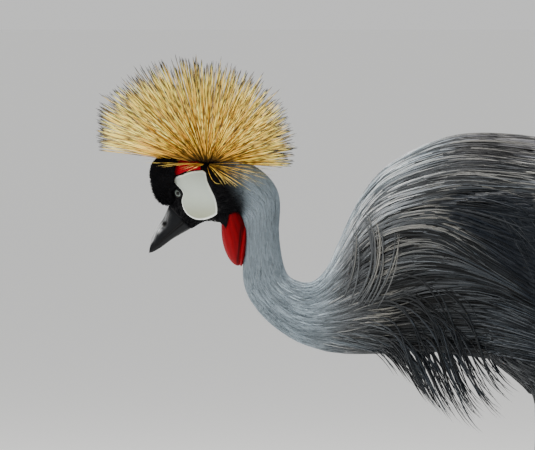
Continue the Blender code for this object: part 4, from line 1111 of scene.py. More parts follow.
# Half ovals from the mouth line to the culmen or the lower edge, with a nostril groove pressed in above as a
# bell curve. A painted highlight lies along the culmen by bell curves round it and ramps along it.
def makeBill(name, upper, node):
    form = billForm
    rows = readRows(billRows, np.linspace(0, len(billRows) - 1, form["along"]))
    culmen, mouth, low = (
        np.stack([rows[:, first], 0 * rows[:, 0], rows[:, first + 1]], axis=-1) for first in (0, 2, 4)
    )
    edge = culmen if upper else low
    if not upper:
        mouth = mouth - unit(low - culmen) * 0.0003
    turn = np.radians(np.concatenate([np.linspace(-90, 90, form["arc"]), form["inside"]]))
    flat = np.concatenate([np.ones(form["arc"]), np.zeros(len(form["inside"]))])
    width = rows[:, 6:7] * (1.0 if upper else 0.94)
    across = signedPower(np.sin(turn), 0.9)[None] * width
    rise = (np.cos(turn) ** 0.85 * flat)[None, :, None] * (edge - mouth)[:, None]
    rings = mouth[:, None] + rise
    if upper:
        offX, offZ = rings[..., 0] - form["nostril"][0], rings[..., 2] - form["nostril"][1]
        off = np.hypot(offX * 0.78 - offZ * 0.62, (offX * 0.62 + offZ * 0.78) * 0.66) / form["nostrilRadius"]
        groove = np.exp(-(off ** 4)) * form["nostrilDepth"]
        across = np.sign(across) * np.maximum(np.abs(across) - groove * flat, np.abs(across) * 0.35)
    rings[..., 1] = across
    # The first ring is tucked into the face
    centre = rings[0].mean(axis=0)
    rings[0] = centre + (rings[0] - centre) * 0.93 + unit(centre - rings[12].mean(axis=0)) * 0.0030
    along = np.linspace(0, 1, form["along"])[:, None] + 0 * across
    # Painted highlight: a band along the culmen and a patch lower on the side, broken by darker streaks
    away = np.abs(np.degrees(turn))[None]
    place = away + 7 * np.sin(along * 17)
    spread = 20 - 11 * ramp(along, 0.45, 0.9)
    glossHighlight = 0.30 * ramp(along, 0.02, 0.12) + 0.55 * ramp(along, 0.28, 0.36) - 0.25 * ramp(along, 0.55, 0.90)
    ridge = np.exp(-(((place - 27) / spread) ** 2)) * flat[None] * upper
    below = np.exp(-(((along - 0.44) / 0.055) ** 2) - ((place - 50) / 11) ** 2) * flat[None] * upper
    streak = 0.62 + 0.38 * np.sin(place * 0.55 + along * 19) * np.sin(along * 41 + place * 0.2)
    light = np.maximum(ridge * glossHighlight, below * 0.9) * streak
    tones = mix(np.array(form["dark"]), np.array(form["glossHighlight"]), light)
    # Painted shade: black in the nostril's hollow and along the mouth line between the halves
    if upper:
        tones = mix(tones, shade("black") * 0.2, np.exp(-((off / 1.1) ** 4)) * flat)
    tones = mix(tones, shade("black") * 0.4, ramp(away, 80, 87) + 0 * along)
    places = np.stack([along, np.linspace(0, 1, len(turn)) + 0 * along], axis=-1) * 0.96 + 0.02
    tubeMesh(name, rings, tones, hornStuff, (node,), places)


makeBill("billUpper", True, "bill_upper")
makeBill("billLower", False, "bill_lower")


# Eyes


# Ball coloured by the angle from the line of sight, with a streaked iris.
def makeBall(suffix, label, centre, gaze):
    upright = unit(np.cross(gaze, np.array([1.0, 0.0, 0.0])))
    away = np.radians(np.linspace(0.8, 179, 80))[:, None]
    turn = np.radians(np.linspace(0, 360, 72, endpoint=False))[None]
    rings = centre + eyeForm["radius"] * (
        np.cos(away)[..., None] * gaze
        + (np.sin(away) * np.cos(turn))[..., None] * upright
        + (np.sin(away) * np.sin(turn))[..., None] * np.cross(gaze, upright)
    )
    angle = np.degrees(away) + 0 * turn
    iris = np.array(eyeForm["iris"]) * np.random.default_rng(51).uniform(0.85, 1.15, 72)[None, :, None]
    tones = mix(shade("black") * 0.2 + 0 * iris, iris, ramp(angle, *eyeForm["irisFrom"]))
    tones = mix(tones, shade("black") * 0.8, ramp(angle, *eyeForm["irisTo"]))
    places = unwrap(angle, 182, np.degrees(turn))
    tubeMesh("eye" + label, rings, tones, eyeStuff, ("eye_" + suffix,), places)


# Lids: a ring of circles round an opening on the ball that is longer along the head than across it.
def makeLids(label, centre, axis):
    slant = np.array(eyeForm["openingSlant"])
    second = unit(slant - axis * (axis @ slant))
    first = np.cross(second, axis)
    turn = np.radians(np.linspace(0, 360, 72, endpoint=False))[:, None]
    roll = np.radians(np.linspace(0, 360, 16, endpoint=False))[None]
    radius = eyeForm["lidRadius"] - 0.0002 * np.cos(2 * turn)
    openLong, openShort = eyeForm["opening"]
    long = (openLong + radius * (1 + np.cos(roll))) * np.cos(turn)
    short = (openShort + radius * (1 + np.cos(roll))) * np.sin(turn)
    depth = np.sqrt(np.clip((eyeForm["radius"] + 0.0002) ** 2 - long**2 - short**2, 1e-8, None))
    out = depth + radius * np.sin(roll) * 0.9
    rings = centre + out[..., None] * axis + short[..., None] * first + long[..., None] * second
    tones = np.broadcast_to(np.array((0.009, 0.009, 0.010)), rings.shape)
    places = unwrap(np.degrees(turn), 366, np.degrees(roll))
    column, after = np.arange(16), (np.arange(16) + 1) % 16
    join = np.stack([71 * 16 + column, 71 * 16 + after, after, column], axis=-1)
    faces = np.concatenate([gridFaces(72, 16), join])
    if np.dot(np.cross(first, second), axis) < 0:
        faces = faces[:, ::-1]
    rings, tones, places = rings.reshape(-1, 3), tones.reshape(-1, 3), places.reshape(-1, 2)
    finishPiece(fillMesh("lids" + label, rings, [faces], tones, places, velvet))


# Both eyes, each square to the head's own slope where it sits. The ball looks more sideways than its lids.
def makeEyes():
    x, z = eyeForm["place"]
    step = 0.002
    slopeX, slopeZ = (
        (headSide(x + dx, z + dz) - headSide(x - dx, z - dz)) / (2 * step)
        for dx, dz in ((step, 0), (0, step))
    )
    for side, suffix, label in bothSides:
        axis = unit(np.array([-slopeX, -side, -slopeZ]))
        centre = np.array([x, -side * headSide(x, z), z]) + axis * (eyeForm["standsOut"] - eyeForm["radius"])
        makeBall(suffix, label, centre, unit(np.array([-slopeX * 0.7, -side, -slopeZ * 1.3])))
        makeLids(label, centre, axis)


makeEyes()
report("bill and eyes")


# Crest of stiff bristles
crestForm = {
    "root": (-0.3251, 0.0, 0.5830),
    "rootSpread": (0.0085, 0.0060),
    # degrees from upright towards the forehead, and the bristles' length there
    "reach": ((-100, 0.088), (-63, 0.112), (-35, 0.124), (0, 0.133), (30, 0.143), (58, 0.153), (70, 0.149),
              (92, 0.105)),
    # how far the fan opens, in degrees: towards the forehead, towards the nape, and to either side
    "foreAndAft": (79, 89),
    "sideways": 64,
    "clusters": 560,
    "inEach": 3,
    "radius": 0.00042,
    "stations": 20,
    # how far the bristles may reach
    "foremost": -0.4562,
    "highest": 0.7102,
    "widest": 0.1040,
    "groupLengths": (0.92, 1.02),
    "lengths": (0.40, 1.0),
    "bend": 0.0020,
    "sag": 0.004,
    # lightness of the painted highlight and shade where a bristle twists
    "twistShading": (0.18, 1.05, 1.45),
    "lights": (0.44, 1.48),
    "tipFrom": (0.89, 0.96),
}


# Umber at the root, gold along the stem, paler outwards, flecked lighter and darker where the stem twists as
# painted highlight and shade, sooty at the tip.
def bristleTone(t, draw):
    count = t.shape[0]
    tone = mix(shade("umber") * 0.6, shade("gold"), ramp(t, 0.08, 0.46))
    tone = mix(tone, shade("paleGold"), ramp(t, 0.45, 0.92))
    light = draw.uniform(*crestForm["lights"], (count, 1)) * draw.choice(crestForm["twistShading"], t.shape)
    tone = tone * light[..., None]
    tipAt = draw.uniform(*crestForm["tipFrom"], (count, 1))
    return mix(tone, shade("soot") * 0.5, ramp(t, tipAt - 0.02, tipAt + 0.02))


# Bristles in small groups, the groups fanned over an oval of directions from one focus by the golden angle,
# each as long as its lean towards the forehead gives, cut where it would pass the crest's limits.
def makeCrest():
    form, draw = crestForm, np.random.default_rng(61)
    group = np.repeat(np.arange(form["clusters"]), form["inEach"])
    count = len(group)
    share = np.sqrt((group + 0.5) / form["clusters"])
    turn = group * np.pi * (3 - np.sqrt(5))
    reach = np.where(np.cos(turn) < 0, form["foreAndAft"][0], form["foreAndAft"][1])
    fore = np.radians(reach * share * np.cos(turn)) + draw.normal(0, 0.022, count)
    aside = np.radians(form["sideways"] * share * np.sin(turn)) + draw.normal(0, 0.05, count)
    lean = np.hypot(fore, aside)
    out = np.stack([fore, aside, 0 * fore], axis=-1) / np.maximum(lean, 1e-6)[:, None]
    way = out * np.sin(lean)[:, None] + np.array([0.0, 0.0, 1.0]) * np.cos(lean)[:, None]
    towards = np.degrees(np.arctan2(-way[:, 0], way[:, 2]))
    length = np.interp(towards, *np.array(form["reach"]).T)
    length = length * draw.uniform(*form["groupLengths"], form["clusters"])[group]
    length = length * draw.uniform(*form["lengths"], count) ** 0.15
    root = np.array(form["root"]) + out * np.array([*form["rootSpread"], 0]) * (lean / 1.6)[:, None]
    root[:, 2] -= 0.003
    length = np.minimum(length, (root[:, 0] - form["foremost"]) / np.maximum(-way[:, 0], 0.1) - 0.003)
    length = np.minimum(length, (form["highest"] - root[:, 2]) / np.maximum(way[:, 2], 0.1))
    length = np.minimum(length, form["widest"] / np.maximum(np.abs(way[:, 1]), 0.1))
    t = np.concatenate([np.linspace(0, 0.965, form["stations"] - 1), [1.0]])[None, :]
    bend = draw.normal(0, 1, (count, 3)) * form["bend"]
    bend[:, 2] -= form["sag"] * np.sin(lean)
    path = root[:, None] + way[:, None] * (length[:, None] * t)[..., None]
    path = path + bend[:, None] * (t**2)[..., None]
    up = np.broadcast_to(unit(np.cross(way, np.array([0.3, 1.0, 0.2])))[:, None], path.shape)
    thick = draw.uniform(0.7, 1.25, count)[:, None] * form["radius"]
    thick = thick * np.linspace(1.7, 1.5, form["stations"])[None]
    tone = bristleTone(t + 0 * thick, draw)
    home = np.stack([0.5 + 0.45 * share * np.cos(turn), 0.5 + 0.45 * share * np.sin(turn)], axis=-1)
    vanesMesh("crestBristles", path, up, thick * 1.2, thick, tone * 0.8, np.minimum(tone * 1.15, 0.95), home,
              bristleStuff, "gold_bristle", ("crest",))


makeCrest()


# Vanes on both sides in turn, from paths in side view and how far they lie from the middle plane. tones are
# the ridges' and the edges'.
def sideVanes(name, flat, out, width, shape, tones, thick, home, stuff, slot):
    half = np.where(np.arange(len(flat)) % 2 == 0, -1, 1)[:, None]
    path = np.stack([flat[..., 0], half * out, flat[..., 1]], axis=-1)
    up = np.stack([0 * out, half + 0 * out, 0 * out], axis=-1)
    span = width * profile(flat.shape[1], shape)[None]
    vanesMesh(name, path, up, span, span * thick, *tones, home, stuff, slot)


# Strands on both sides: quadratic curves in side view, laid on the flesh, over the cushion too, and lifted.
def sideSweep(name, root, middle, tip, reach, lift, width, tone, seed, stuff, slot):
    draw = np.random.default_rng(seed)
    count, stations = len(root), 11
    t = np.linspace(0, 1, stations)[None, :, None]
    flat = bentCurve(root, middle, tip, t)
    out = headSide(flat[..., 0], flat[..., 1], reach)
    flatPoint = np.stack([flat[..., 0], 0 * out, flat[..., 1]], axis=-1)
    room = np.clip(1 - cushionShare(flatPoint), 0, 1) ** (1 / cushionForm["fullness"])
    out = np.maximum(out, cushionForm["radii"][1] * room)
    out = out + lift[:, None] * np.minimum(1, 0.3 + 2 * t[..., 0])
    widths = width * draw.uniform(0.7, 1.3, (count, 1))
    tones = tone(t[..., 0] + np.zeros((count, stations)), draw)
    home = np.stack([(root[:, 0] + 0.40) * 2, (root[:, 1] - 0.3) * 2], axis=-1)
    tones = (tones * 0.8, np.minimum(tones * 1.2, 0.95))
    sideVanes(name, flat, out, widths, "lance", tones, 0.5, home, stuff, slot)


napeForm = {
    # degrees from upright over the nape, and of the loose ones over brow and cushion
    "nape": (93, 142, 40),
    "brow": (-122, -98, 10),
    "cushion": (-96, -86, 10),
    "reach": ((-120, 0.022), (-98, 0.038), (-92, 0.074), (-84, 0.082), (92, 0.092), (121, 0.068),
              (133, 0.046), (150, 0.028)),
    "width": 0.00062,
    # the last ones curl over the black of the face: their middles and tips, x and z
    "curlMiddles": ((-0.3190, 0.5560), (-0.3185, 0.5570)),
    "curlTips": ((-0.3085, 0.5594), (-0.3098, 0.5606)),
}


# Low bristles that fall from the focus over the nape, over the brow and along the cushion.
def makeNapeBristles():
    form, draw = napeForm, np.random.default_rng(62)
    focus = np.array([crestForm["root"][0], crestForm["root"][2] - 0.001])
    slant = np.concatenate([
        np.linspace(*form["nape"]) + draw.normal(0, 1.2, form["nape"][2]),
        draw.uniform(*form["brow"]), draw.uniform(*form["cushion"]),
    ])
    length = np.interp(slant, *np.array(form["reach"]).T) * draw.uniform(0.45, 1.0, len(slant)) ** 0.4
    way = np.stack([np.sin(np.radians(slant)), np.cos(np.radians(slant))], axis=-1)
    tip = focus + way * length[:, None]
    middle = focus + way * (length * 0.5)[:, None] + np.array([0.0, 0.0030])
    middle = middle + draw.normal(0, 0.0010, way.shape)
    tip = np.concatenate([tip, form["curlTips"]])
    middle = np.concatenate([middle, form["curlMiddles"]])
    root = focus + unit(middle - focus) * 0.003
    over = np.concatenate([slant < -80, [False, False]])
    lift = np.where(over, draw.uniform(0.002, 0.004, len(over)), draw.uniform(0.001, 0.006, len(over)))
    sideSweep("napeBristles", root, middle, tip, (1.5, 6.0), lift, form["width"],
              lambda t, own: bristleTone(0.20 + t * 0.74, own) * 1.2, 63, bristleStuff, "gold_bristle")


makeNapeBristles()
report("crest")


throatForm = {
    "count": 760,
    # lower edge of the black throat in side view, by share of the way along, and how far tips stand above it
    "edge": ((0, -0.3090, 0.5116), (0.25, -0.3050, 0.5093), (0.42, -0.3022, 0.5046), (0.52, -0.3003, 0.5143),
             (0.66, -0.2985, 0.5245), (1, -0.2840, 0.5275)),
    "above": ((0, 0.012), (0.5, 0.012), (0.7, 0.004), (1, 0.003)),
    "length": (0.0050, 0.0085),
    "lift": (0.0010, 0.0020),
}


# Short black feathers from the throat that end in a point over the pouch: straight, just outside its oval.
def makeThroatPoint():
    form, draw = throatForm, np.random.default_rng(66)
    count, stations = form["count"], 4
    along = draw.uniform(0, 1, count)
    share, edgeX, edgeZ = np.array(form["edge"]).T
    tip = np.stack([np.interp(along, share, edgeX), np.interp(along, share, edgeZ)], axis=-1)
    tip[:, 1] += draw.uniform(0, 1, count) ** 2 * np.interp(along, *np.array(form["above"]).T)
    off = [draw.normal(-0.0006, 0.0006, count), draw.uniform(*form["length"], count)]
    root = tip + np.stack(off, axis=-1)
    t = np.linspace(0, 1, stations)[None, :, None]
    flat = root[:, None] * (1 - t) + tip[:, None] * t
    points = np.stack([flat[..., 0], 0 * flat[..., 0], flat[..., 1]], axis=-1)
    off = leaningOffset(points, pouchForm["centre"], pouchForm["lean"]) / np.array(pouchForm["radii"])
    room = np.clip(1 - off[..., 0] ** 2 - np.abs(off[..., 2]) ** pouchForm["fullness"], 0, 1)
    out = np.maximum(pouchForm["radii"][1] * np.sqrt(room), 0.0130) + draw.uniform(*form["lift"], (count, 1))
    widths = draw.uniform(0.0010, 0.0018, (count, 1))
    tones = np.broadcast_to(shade("black"), points.shape) * draw.uniform(0.5, 1.6, (count, 1, 1))
    home = skinPlace(np.full(count, 3.6), 100 + 60 * along)
    sideVanes("throatFeathers", flat, out, widths, "hair", (tones, tones * 1.3), 0.3, home, velvet,
              "black_feather")


makeThroatPoint()


# Loose locks of cream plumes on the shoulder's side
strayForm = {
    # root, bend and tip in side view, how creamy the lock is and how many plumes it has
    "locks": (
        ((-0.1480, 0.4150), (-0.1080, 0.4640), (-0.1420, 0.5340), 0.9, 14),
        ((-0.1430, 0.4160), (-0.1060, 0.4620), (-0.1270, 0.5160), 0.9, 12),
        ((-0.1400, 0.4150), (-0.1050, 0.4640), (-0.1090, 0.5060), 0.8, 6),
        ((-0.1640, 0.4230), (-0.1430, 0.4640), (-0.1500, 0.5140), 0.6, 8),
    ),
    # how far a lock's plumes lie apart at root, bend and tip, and how far each strays there
    "spreads": ((1.4, 0.0014), (1.0, 0.0012), (0.35, 0.0036)),
    "apart": 0.0034,
    "lift": (0.0036, 0.0062),
    "width": 0.0019,
}


# Curves side by side in locks that rise across the mantle, grey at the root and creamier towards the tip.
def makeStrayPlumes():
    form, draw = strayForm, np.random.default_rng(64)
    locks = form["locks"]
    lock = np.repeat(np.arange(len(locks)), [row[4] for row in locks])
    count = len(lock)
    shift = draw.normal(0, 0.0020, (len(locks), 2))[lock]
    beside = draw.normal(0, form["apart"], (count, 1)) * np.array([1.0, -0.5])
    root, middle, tip = (
        np.array([row[place] for row in locks])[lock] + shift + beside * apart
        + draw.normal(0, stray, (count, 2))
        for place, (apart, stray) in enumerate(form["spreads"])
    )
    cream = np.array([row[3] for row in locks])[lock][:, None]

    # Steel at the root, blended to cream by a ramp towards the tip times each plume's own share
    def tone(t, own):
        share = cream * own.uniform(-0.5, 0.55, (count, 1)) * ramp(t, 0, 0.8)
        return mix(shade("steel") * 0.7, shade("cream"), share)

    lift = draw.uniform(*form["lift"], count)
    sideSweep("strayPlumes", root, middle, tip, (9.0, 15.0), lift, form["width"], tone, 65, plumage,
              "pale_grey")


makeStrayPlumes()


# Legs below the thighs: x, y outwards, z, half thickness fore and aft, half thickness sideways
legRows = np.array([
    (0.0690, 0.0520, 0.3080, 0.0088, 0.0080), (0.0685, 0.0520, 0.3000, 0.0085, 0.0078),
    (0.0676, 0.0514, 0.2700, 0.0068, 0.0064), (0.0668, 0.0508, 0.2450, 0.0070, 0.0065),
    (0.0672, 0.0503, 0.2250, 0.0092, 0.0080), (0.0680, 0.0500, 0.2150, 0.0098, 0.0086),
    (0.0690, 0.0497, 0.2030, 0.0082, 0.0072), (0.0700, 0.0493, 0.1850, 0.0060, 0.0056),
    (0.0715, 0.0485, 0.1200, 0.0055, 0.0052), (0.0730, 0.0476, 0.0500, 0.0060, 0.0056),
    (0.0738, 0.0471, 0.0280, 0.0072, 0.0066), (0.0740, 0.0470, 0.0160, 0.0078, 0.0072),
    (0.0740, 0.0470, 0.0060, 0.0110, 0.0100), (0.0740, 0.0470, 0.0006, 0.0112, 0.0102),
])
thighForm = {"feathers": 2700, "sunk": 0.0022, "droop": 34, "width": (0.0042, 0.0004), "lift": 0.0022}
legForm = {
    "scute": 0.0066,  # from one scute to the next
    "scuteRise": 0.00038,
    "scaleRise": 0.00014,
    "scutesFrom": (-0.205, -0.195),  # below these heights
}
footForm = {
    "place": (0.0740, 0.0470),
    "slant": 1.0025,  # the right foot's share of rightLegBack
    # name, length, degrees outwards, radius at the root and at the tip
    "toes": (
        ("middle", 0.088, 2, 0.0066, 0.0043), ("outer", 0.071, 36, 0.0060, 0.0040),
        ("inner", 0.063, -34, 0.0060, 0.0040), ("hind", 0.034, 172, 0.0052, 0.0036),
    ),
    "slice": 0.0007,  # how much of a toe's underside is flat on the floor
    "swelling": 0.0005,
    "scute": 0.0034,
    "claw": 0.0135,
    "clawIn": 0.0012,  # how far a claw's base sits in its toe
}
scaleShades = ((0.012, 0.012, 0.013), (0.050, 0.050, 0.053), (0.055, 0.055, 0.056))


# Ovals down the leg, slanted back by a share of the way down from the thigh.
def legPoint(rows, at, turn, side, grow=0.0):
    x, y, z, fore, across = np.moveaxis(readRows(rows, at), -1, 0)
    turn = np.radians(turn)
    aside = -side * y + (across + grow) * np.sin(turn)
    return np.stack([x + legSlant(side, z) + (fore + grow) * np.cos(turn), aside, z + 0 * turn], axis=-1)


# The thigh's skin, and lance feathers that run down it and droop back.
def makeThigh(side, suffix, label):
    form = thighForm
    at, turn = roundGrid(0, 6, 90, 72)
    rings = legPoint(thighRows, at, turn, side, -form["sunk"])
    tones = np.broadcast_to(shade("slate") * 0.6, rings.shape)
    places = unwrap(at, 6.2, turn)
    tubeMesh("thighSkin" + label, rings, tones, plumage, ("thigh_" + suffix,), places)
    draw = np.random.default_rng(71 + side)
    count = form["feathers"]
    at = draw.uniform(0, 1, count) ** 0.8 * 4.7
    turn = draw.uniform(0, 360, count)
    share = np.linspace(0, 1, 6)[None]
    length = draw.uniform(0.7, 1.1, count) * (1.30 - 0.12 * at)
    atNow = np.minimum(at[:, None] + length[:, None] * share, 5.15)
    drift = draw.normal(0, 4, count) - form["droop"] * np.sin(np.radians(turn))
    turnNow = turn[:, None] + drift[:, None] * share
    skin = legPoint(thighRows, atNow, turnNow, side)
    out = unit(legPoint(thighRows, atNow, turnNow, side, 0.01) - skin)
    risen = np.sin(np.pi / 2 * np.minimum(share * 2, 1))
    lift = -0.0020 + draw.uniform(0.3, 1.2, count)[:, None] * form["lift"] * risen
    path = skin + out * lift[..., None]
    wide, narrower = form["width"]
    widths = (wide - narrower * at) * draw.uniform(0.7, 1.3, count)
    span = widths[:, None] * profile(6, "lance")[None]
    base = mix(shade("slate") * 0.8, shade("steel") * 0.8, draw.uniform(0, 1, count) ** 5)
    base = base[:, None] + 0 * path
    vanesMesh("thighFeathers" + label, path, out, span, span * 0.16 + 0.0002, base * 0.55, base * 1.4,
              unwrap(at, 6.2, turn), plumage, "slate")


# Shank and tarsus in one, ringed by scutes: a saw wave down the front, smaller scales behind.
def makeLeg(side, suffix, label):
    at, turn = roundGrid(0, len(legRows) - 1, 640, 32)
    z = readRows(legRows, at)[..., 2]
    front = ramp(-np.cos(np.radians(turn)), -0.2, 0.7)
    scute = (1 - np.abs(((z / legForm["scute"]) % 1) * 2 - 1)) ** 0.5 * front
    scute = scute * ramp(-z, *legForm["scutesFrom"])
    scales = np.sin(z * 1500 + 2 * np.sin(np.radians(turn) * 6)) * np.sin(np.radians(turn) * 9)
    scales = scales * (1 - 0.8 * front)
    grow = legForm["scuteRise"] * (scute - 1) * front + legForm["scaleRise"] * (scales - 1)
    rings = legPoint(legRows, at, turn, side, grow)
    rings[..., 2] = np.maximum(rings[..., 2], 0.0006)
    light = 0.25 + 0.5 * scute + 0.25 * scales * (1 - front)
    tones = mix(np.array(scaleShades[0]), np.array(scaleShades[1]), light)
    nodes = ("shank_" + suffix, "tarsus_" + suffix)
    tubeMesh("leg" + label, rings, tones, legStuff, nodes, unwrap(at, 13.3, turn))


# Rings of a bar that runs from start along way: circles of each radius round each height, wide by its share.
def barRings(start, way, length, wide, radius, height, around):
    across = np.array([-way[1], way[0], 0.0])
    upward = np.array([0, 0, 1.0])
    return (
        start + way * length[..., None] + across * (radius * wide * np.cos(around))[..., None]
        + upward * (height + radius * np.sin(around))[..., None]
    )


# Toes as round bars that swell by a cosine at their joints, with scutes as a sine above, flattened where
# they rest, each with a claw whose radius closes as a root and whose middle drops as a square.
def makeFoot(side, suffix, label):
    form = footForm
    back = rightLegBack * form["slant"] if side < 0 else 0.0
    foot = np.array([form["place"][0] + back, -side * form["place"][1], 0.0])
    around = np.radians(np.linspace(0, 360, 36, endpoint=False))[None]
    for toe, length, turn, rootRadius, tipRadius in form["toes"]:
        turn = np.radians(turn)
        way = np.array([-np.cos(turn), -side * np.sin(turn), 0.0])
        share = np.linspace(0, 1, 120)[:, None]
        scute = np.abs(np.sin(share * length / form["scute"] * np.pi)) ** 0.4 * np.clip(np.sin(around), 0, 1)
        plain = rootRadius + (tipRadius - rootRadius) * share + form["swelling"] * np.cos(share * 6 * np.pi)
        radius = plain - 0.00022 * (1 - scute) * np.clip(np.sin(around) + 0.4, 0, 1)
        rings = barRings(foot, way, length * share, 1.0, radius, plain - form["slice"], around)
        rings[..., 2] = np.maximum(rings[..., 2], 0.0)
        tone = mix(np.array(scaleShades[0]), np.array(scaleShades[2]), 0.2 + 0.7 * scute + 0 * rings[..., 0])
        nodes = ("foot_" + suffix,) if toe == "middle" else ()
        places = unwrap(share, 1, around, 6.4)
        tubeMesh(toe + "Toe" + label, rings, tone, legStuff, nodes, places)
        t = np.linspace(0, 1, 30)[:, None]
        radius = tipRadius * 0.80 * np.sqrt(np.clip(1 - t**1.6, 0.0004, 1))
        start = foot + way * (length - form["clawIn"])
        height = tipRadius - form["slice"] - 0.0018 * t**2
        rings = barRings(start, way, (form["claw"] + form["clawIn"]) * t, 0.8, radius, height, around)
        rings[..., 2] = np.maximum(rings[..., 2], 0.0002)
        tones = np.broadcast_to(np.array((0.020, 0.019, 0.018)), rings.shape)
        tubeMesh(toe + "Claw" + label, rings, tones, hornStuff, (f"claw_{toe}_{suffix}",),
                 unwrap(t, 1, around, 6.4))


for side, suffix, label in bothSides:
    makeThigh(side, suffix, label)
    makeLeg(side, suffix, label)
    makeFoot(side, suffix, label)
report("legs")


# Wings
wingForm = {
    "thickness": 0.0160,
    "edge": 0.0040,
    "end": 7.0,
    "endSoft": 0.55,  # how much sooner some coverts end
    # name, first and last row, rows, width of a feather, reach, vane's thickness, slot: small slate feathers
    # in front, long white ones behind
    "coverts": (
        ("lesserCoverts", 1.0, 2.75, 19, 0.0044, 0.36, 0.05, "slate"),
        ("coverts", 2.35, 5.5, 9, 0.0100, 1.25, 0.07, "white_feather"),
    ),
    "overlap": 1.5,
    "rump": (0.70, 5.7),  # across and back of these there are no coverts, as the rump lies over the wing
    "lift": (0.0016, 0.0006),
    "hairs": 130,
    "hairRoots": ((0.4, 2.6), (0.2, 1.0)),
    "hairWidth": (0.0004, 0.0008),
    "hairLift": (0.0012, 0.0030),
}


# Night blue at the bend, partly the feathers' own slate and partly painted shade, white over the middle,
# straw at the upper rear edge.
def wingTone(at, across):
    tone = mix(shade("night"), shade("white"), ramp(at + 0.45 * across, 2.35, 3.1))
    return mix(tone, shade("straw"), ramp(across, 0.45, 0.95) * ramp(at, 3.6, 4.8))


# Feathers on the wing's face: each goes back by reach and down by slope times a power of the way along, and
# comes up from under the face by a quarter sine.
def wingVanes(name, side, start, across, reach, width, slope, lift, base, shape, thick, slot):
    stations = 10
    share = np.linspace(0, 1, stations)[None]
    atNow = start[:, None] + reach[:, None] * share
    acrossNow = np.clip(across[:, None] + slope[:, None] * share**1.4, -1, 1)
    raised = -0.0018 + (0.0018 + lift)[:, None] * np.sin(np.pi / 2 * np.minimum(share * 2, 1))
    path = wingPoint(atNow, acrossNow, side, raised)
    up = unit(wingPoint(atNow, acrossNow, side, 0.01) - wingPoint(atNow, acrossNow, side, 0.0))
    up = unit(up + np.array([0, 0, 0.9]) * acrossNow[..., None])
    span = width[:, None] * profile(stations, shape)[None]
    tones = base[:, None] + 0 * path
    home = np.stack([start / 7.2, 0.25 + across * 0.22], axis=-1)
    vanesMesh(name, path, up, span, span * thick + 0.0002, tones * 0.8, np.minimum(tones * 1.15, 0.9), home,
              plumage, slot)


# The wing's body: its outer face, sunk under the coverts and deeper at the shoulder, and an inner face
# behind it by a thickness that falls off as a parabola towards both edges.
def makeWingBody(side, suffix, label):
    at = np.linspace(0, wingForm["end"], 160)[:, None]
    spread = np.linspace(-1, 1, 40)
    sunk = -0.0022 - 0.0120 * (1 - ramp(at + 0 * spread, 0.1, 1.0))
    outer = wingPoint(at + 0 * spread, spread + 0 * at, side, sunk)
    inner = wingPoint(at + 0 * spread, spread[::-1] + 0 * at, side, 0.0)
    inner[..., 1] += side * (wingForm["thickness"] * (1 - spread**2) + wingForm["edge"])[None]
    rings = np.concatenate([outer, inner], axis=1)
    column = np.concatenate([spread, spread[::-1]])
    tones = wingTone(at + 0 * column, column + 0 * at) * 0.5
    tones = mix(tones, shade("chestnut") * 0.5, ramp(at, 5.9, 6.2) + 0 * column)
    places = np.stack([at / 7.2 + 0 * column, np.linspace(0, 0.97, 80)[None] + 0 * at], axis=-1)
    tubeMesh("wingBase" + label, rings, tones, plumage, ("wing_" + suffix,), places)


# Coverts in rows down the wing, as many in a row as its height gives, then thin hair-like plumes that curve
# down over the slate front.
def makeCoverts(side, label):
    form, draw = wingForm, np.random.default_rng(81 + side)
    usual, varied = form["lift"]
    across0, end0 = form["rump"]
    for name, first, last, rows, gap, reach, thick, slot in form["coverts"]:
        starts = np.linspace(first, last, rows)
        heights = readRows(wingRows, starts)[:, 2]
        counts = np.ceil(2 * heights / gap).astype(int)
        start = np.repeat(starts, counts)
        place = np.concatenate([(np.arange(count) + 0.5) / count * 2 - 1 for count in counts])
        width = np.repeat(2 * heights / counts, counts) * form["overlap"]
        count = len(start)
        across = np.clip(place * 0.97 + draw.normal(0, 0.012, count), -0.98, 0.98)
        start = start + draw.uniform(-0.05, 0.05, count) * reach
        reaches = reach * draw.uniform(0.9, 1.1, count)
        reaches = np.minimum(reaches, form["end"] - form["endSoft"] * draw.uniform(0, 1, count) - start)
        kept = (across < across0) | (start + reaches < end0)
        start, across, reaches, width = start[kept], across[kept], reaches[kept], width[kept]
        count = len(start)
        base = wingTone(start, across) * draw.uniform(0.80, 1.15, (count, 1))
        lift = usual + draw.uniform(-varied, varied, count) * (gap / 0.01)
        slope = np.full(count, -0.03)
        wingVanes(name + label, side, start, across, reaches, width, slope, lift, base, "round", thick, slot)
    count = form["hairs"]
    start, across = (draw.uniform(*reach, count) for reach in form["hairRoots"])
    base = mix(shade("slate"), shade("steel"), draw.uniform(0, 0.85, count) ** 1.6)
    reaches, width = draw.uniform(0.6, 1.3, count), draw.uniform(*form["hairWidth"], count)
    slope, lift = -draw.uniform(0.5, 1.2, count), draw.uniform(*form["hairLift"], count)
    wingVanes("shieldHairs" + label, side, start, across, reaches, width, slope, lift, base, "hair", 0.4,
              "slate")


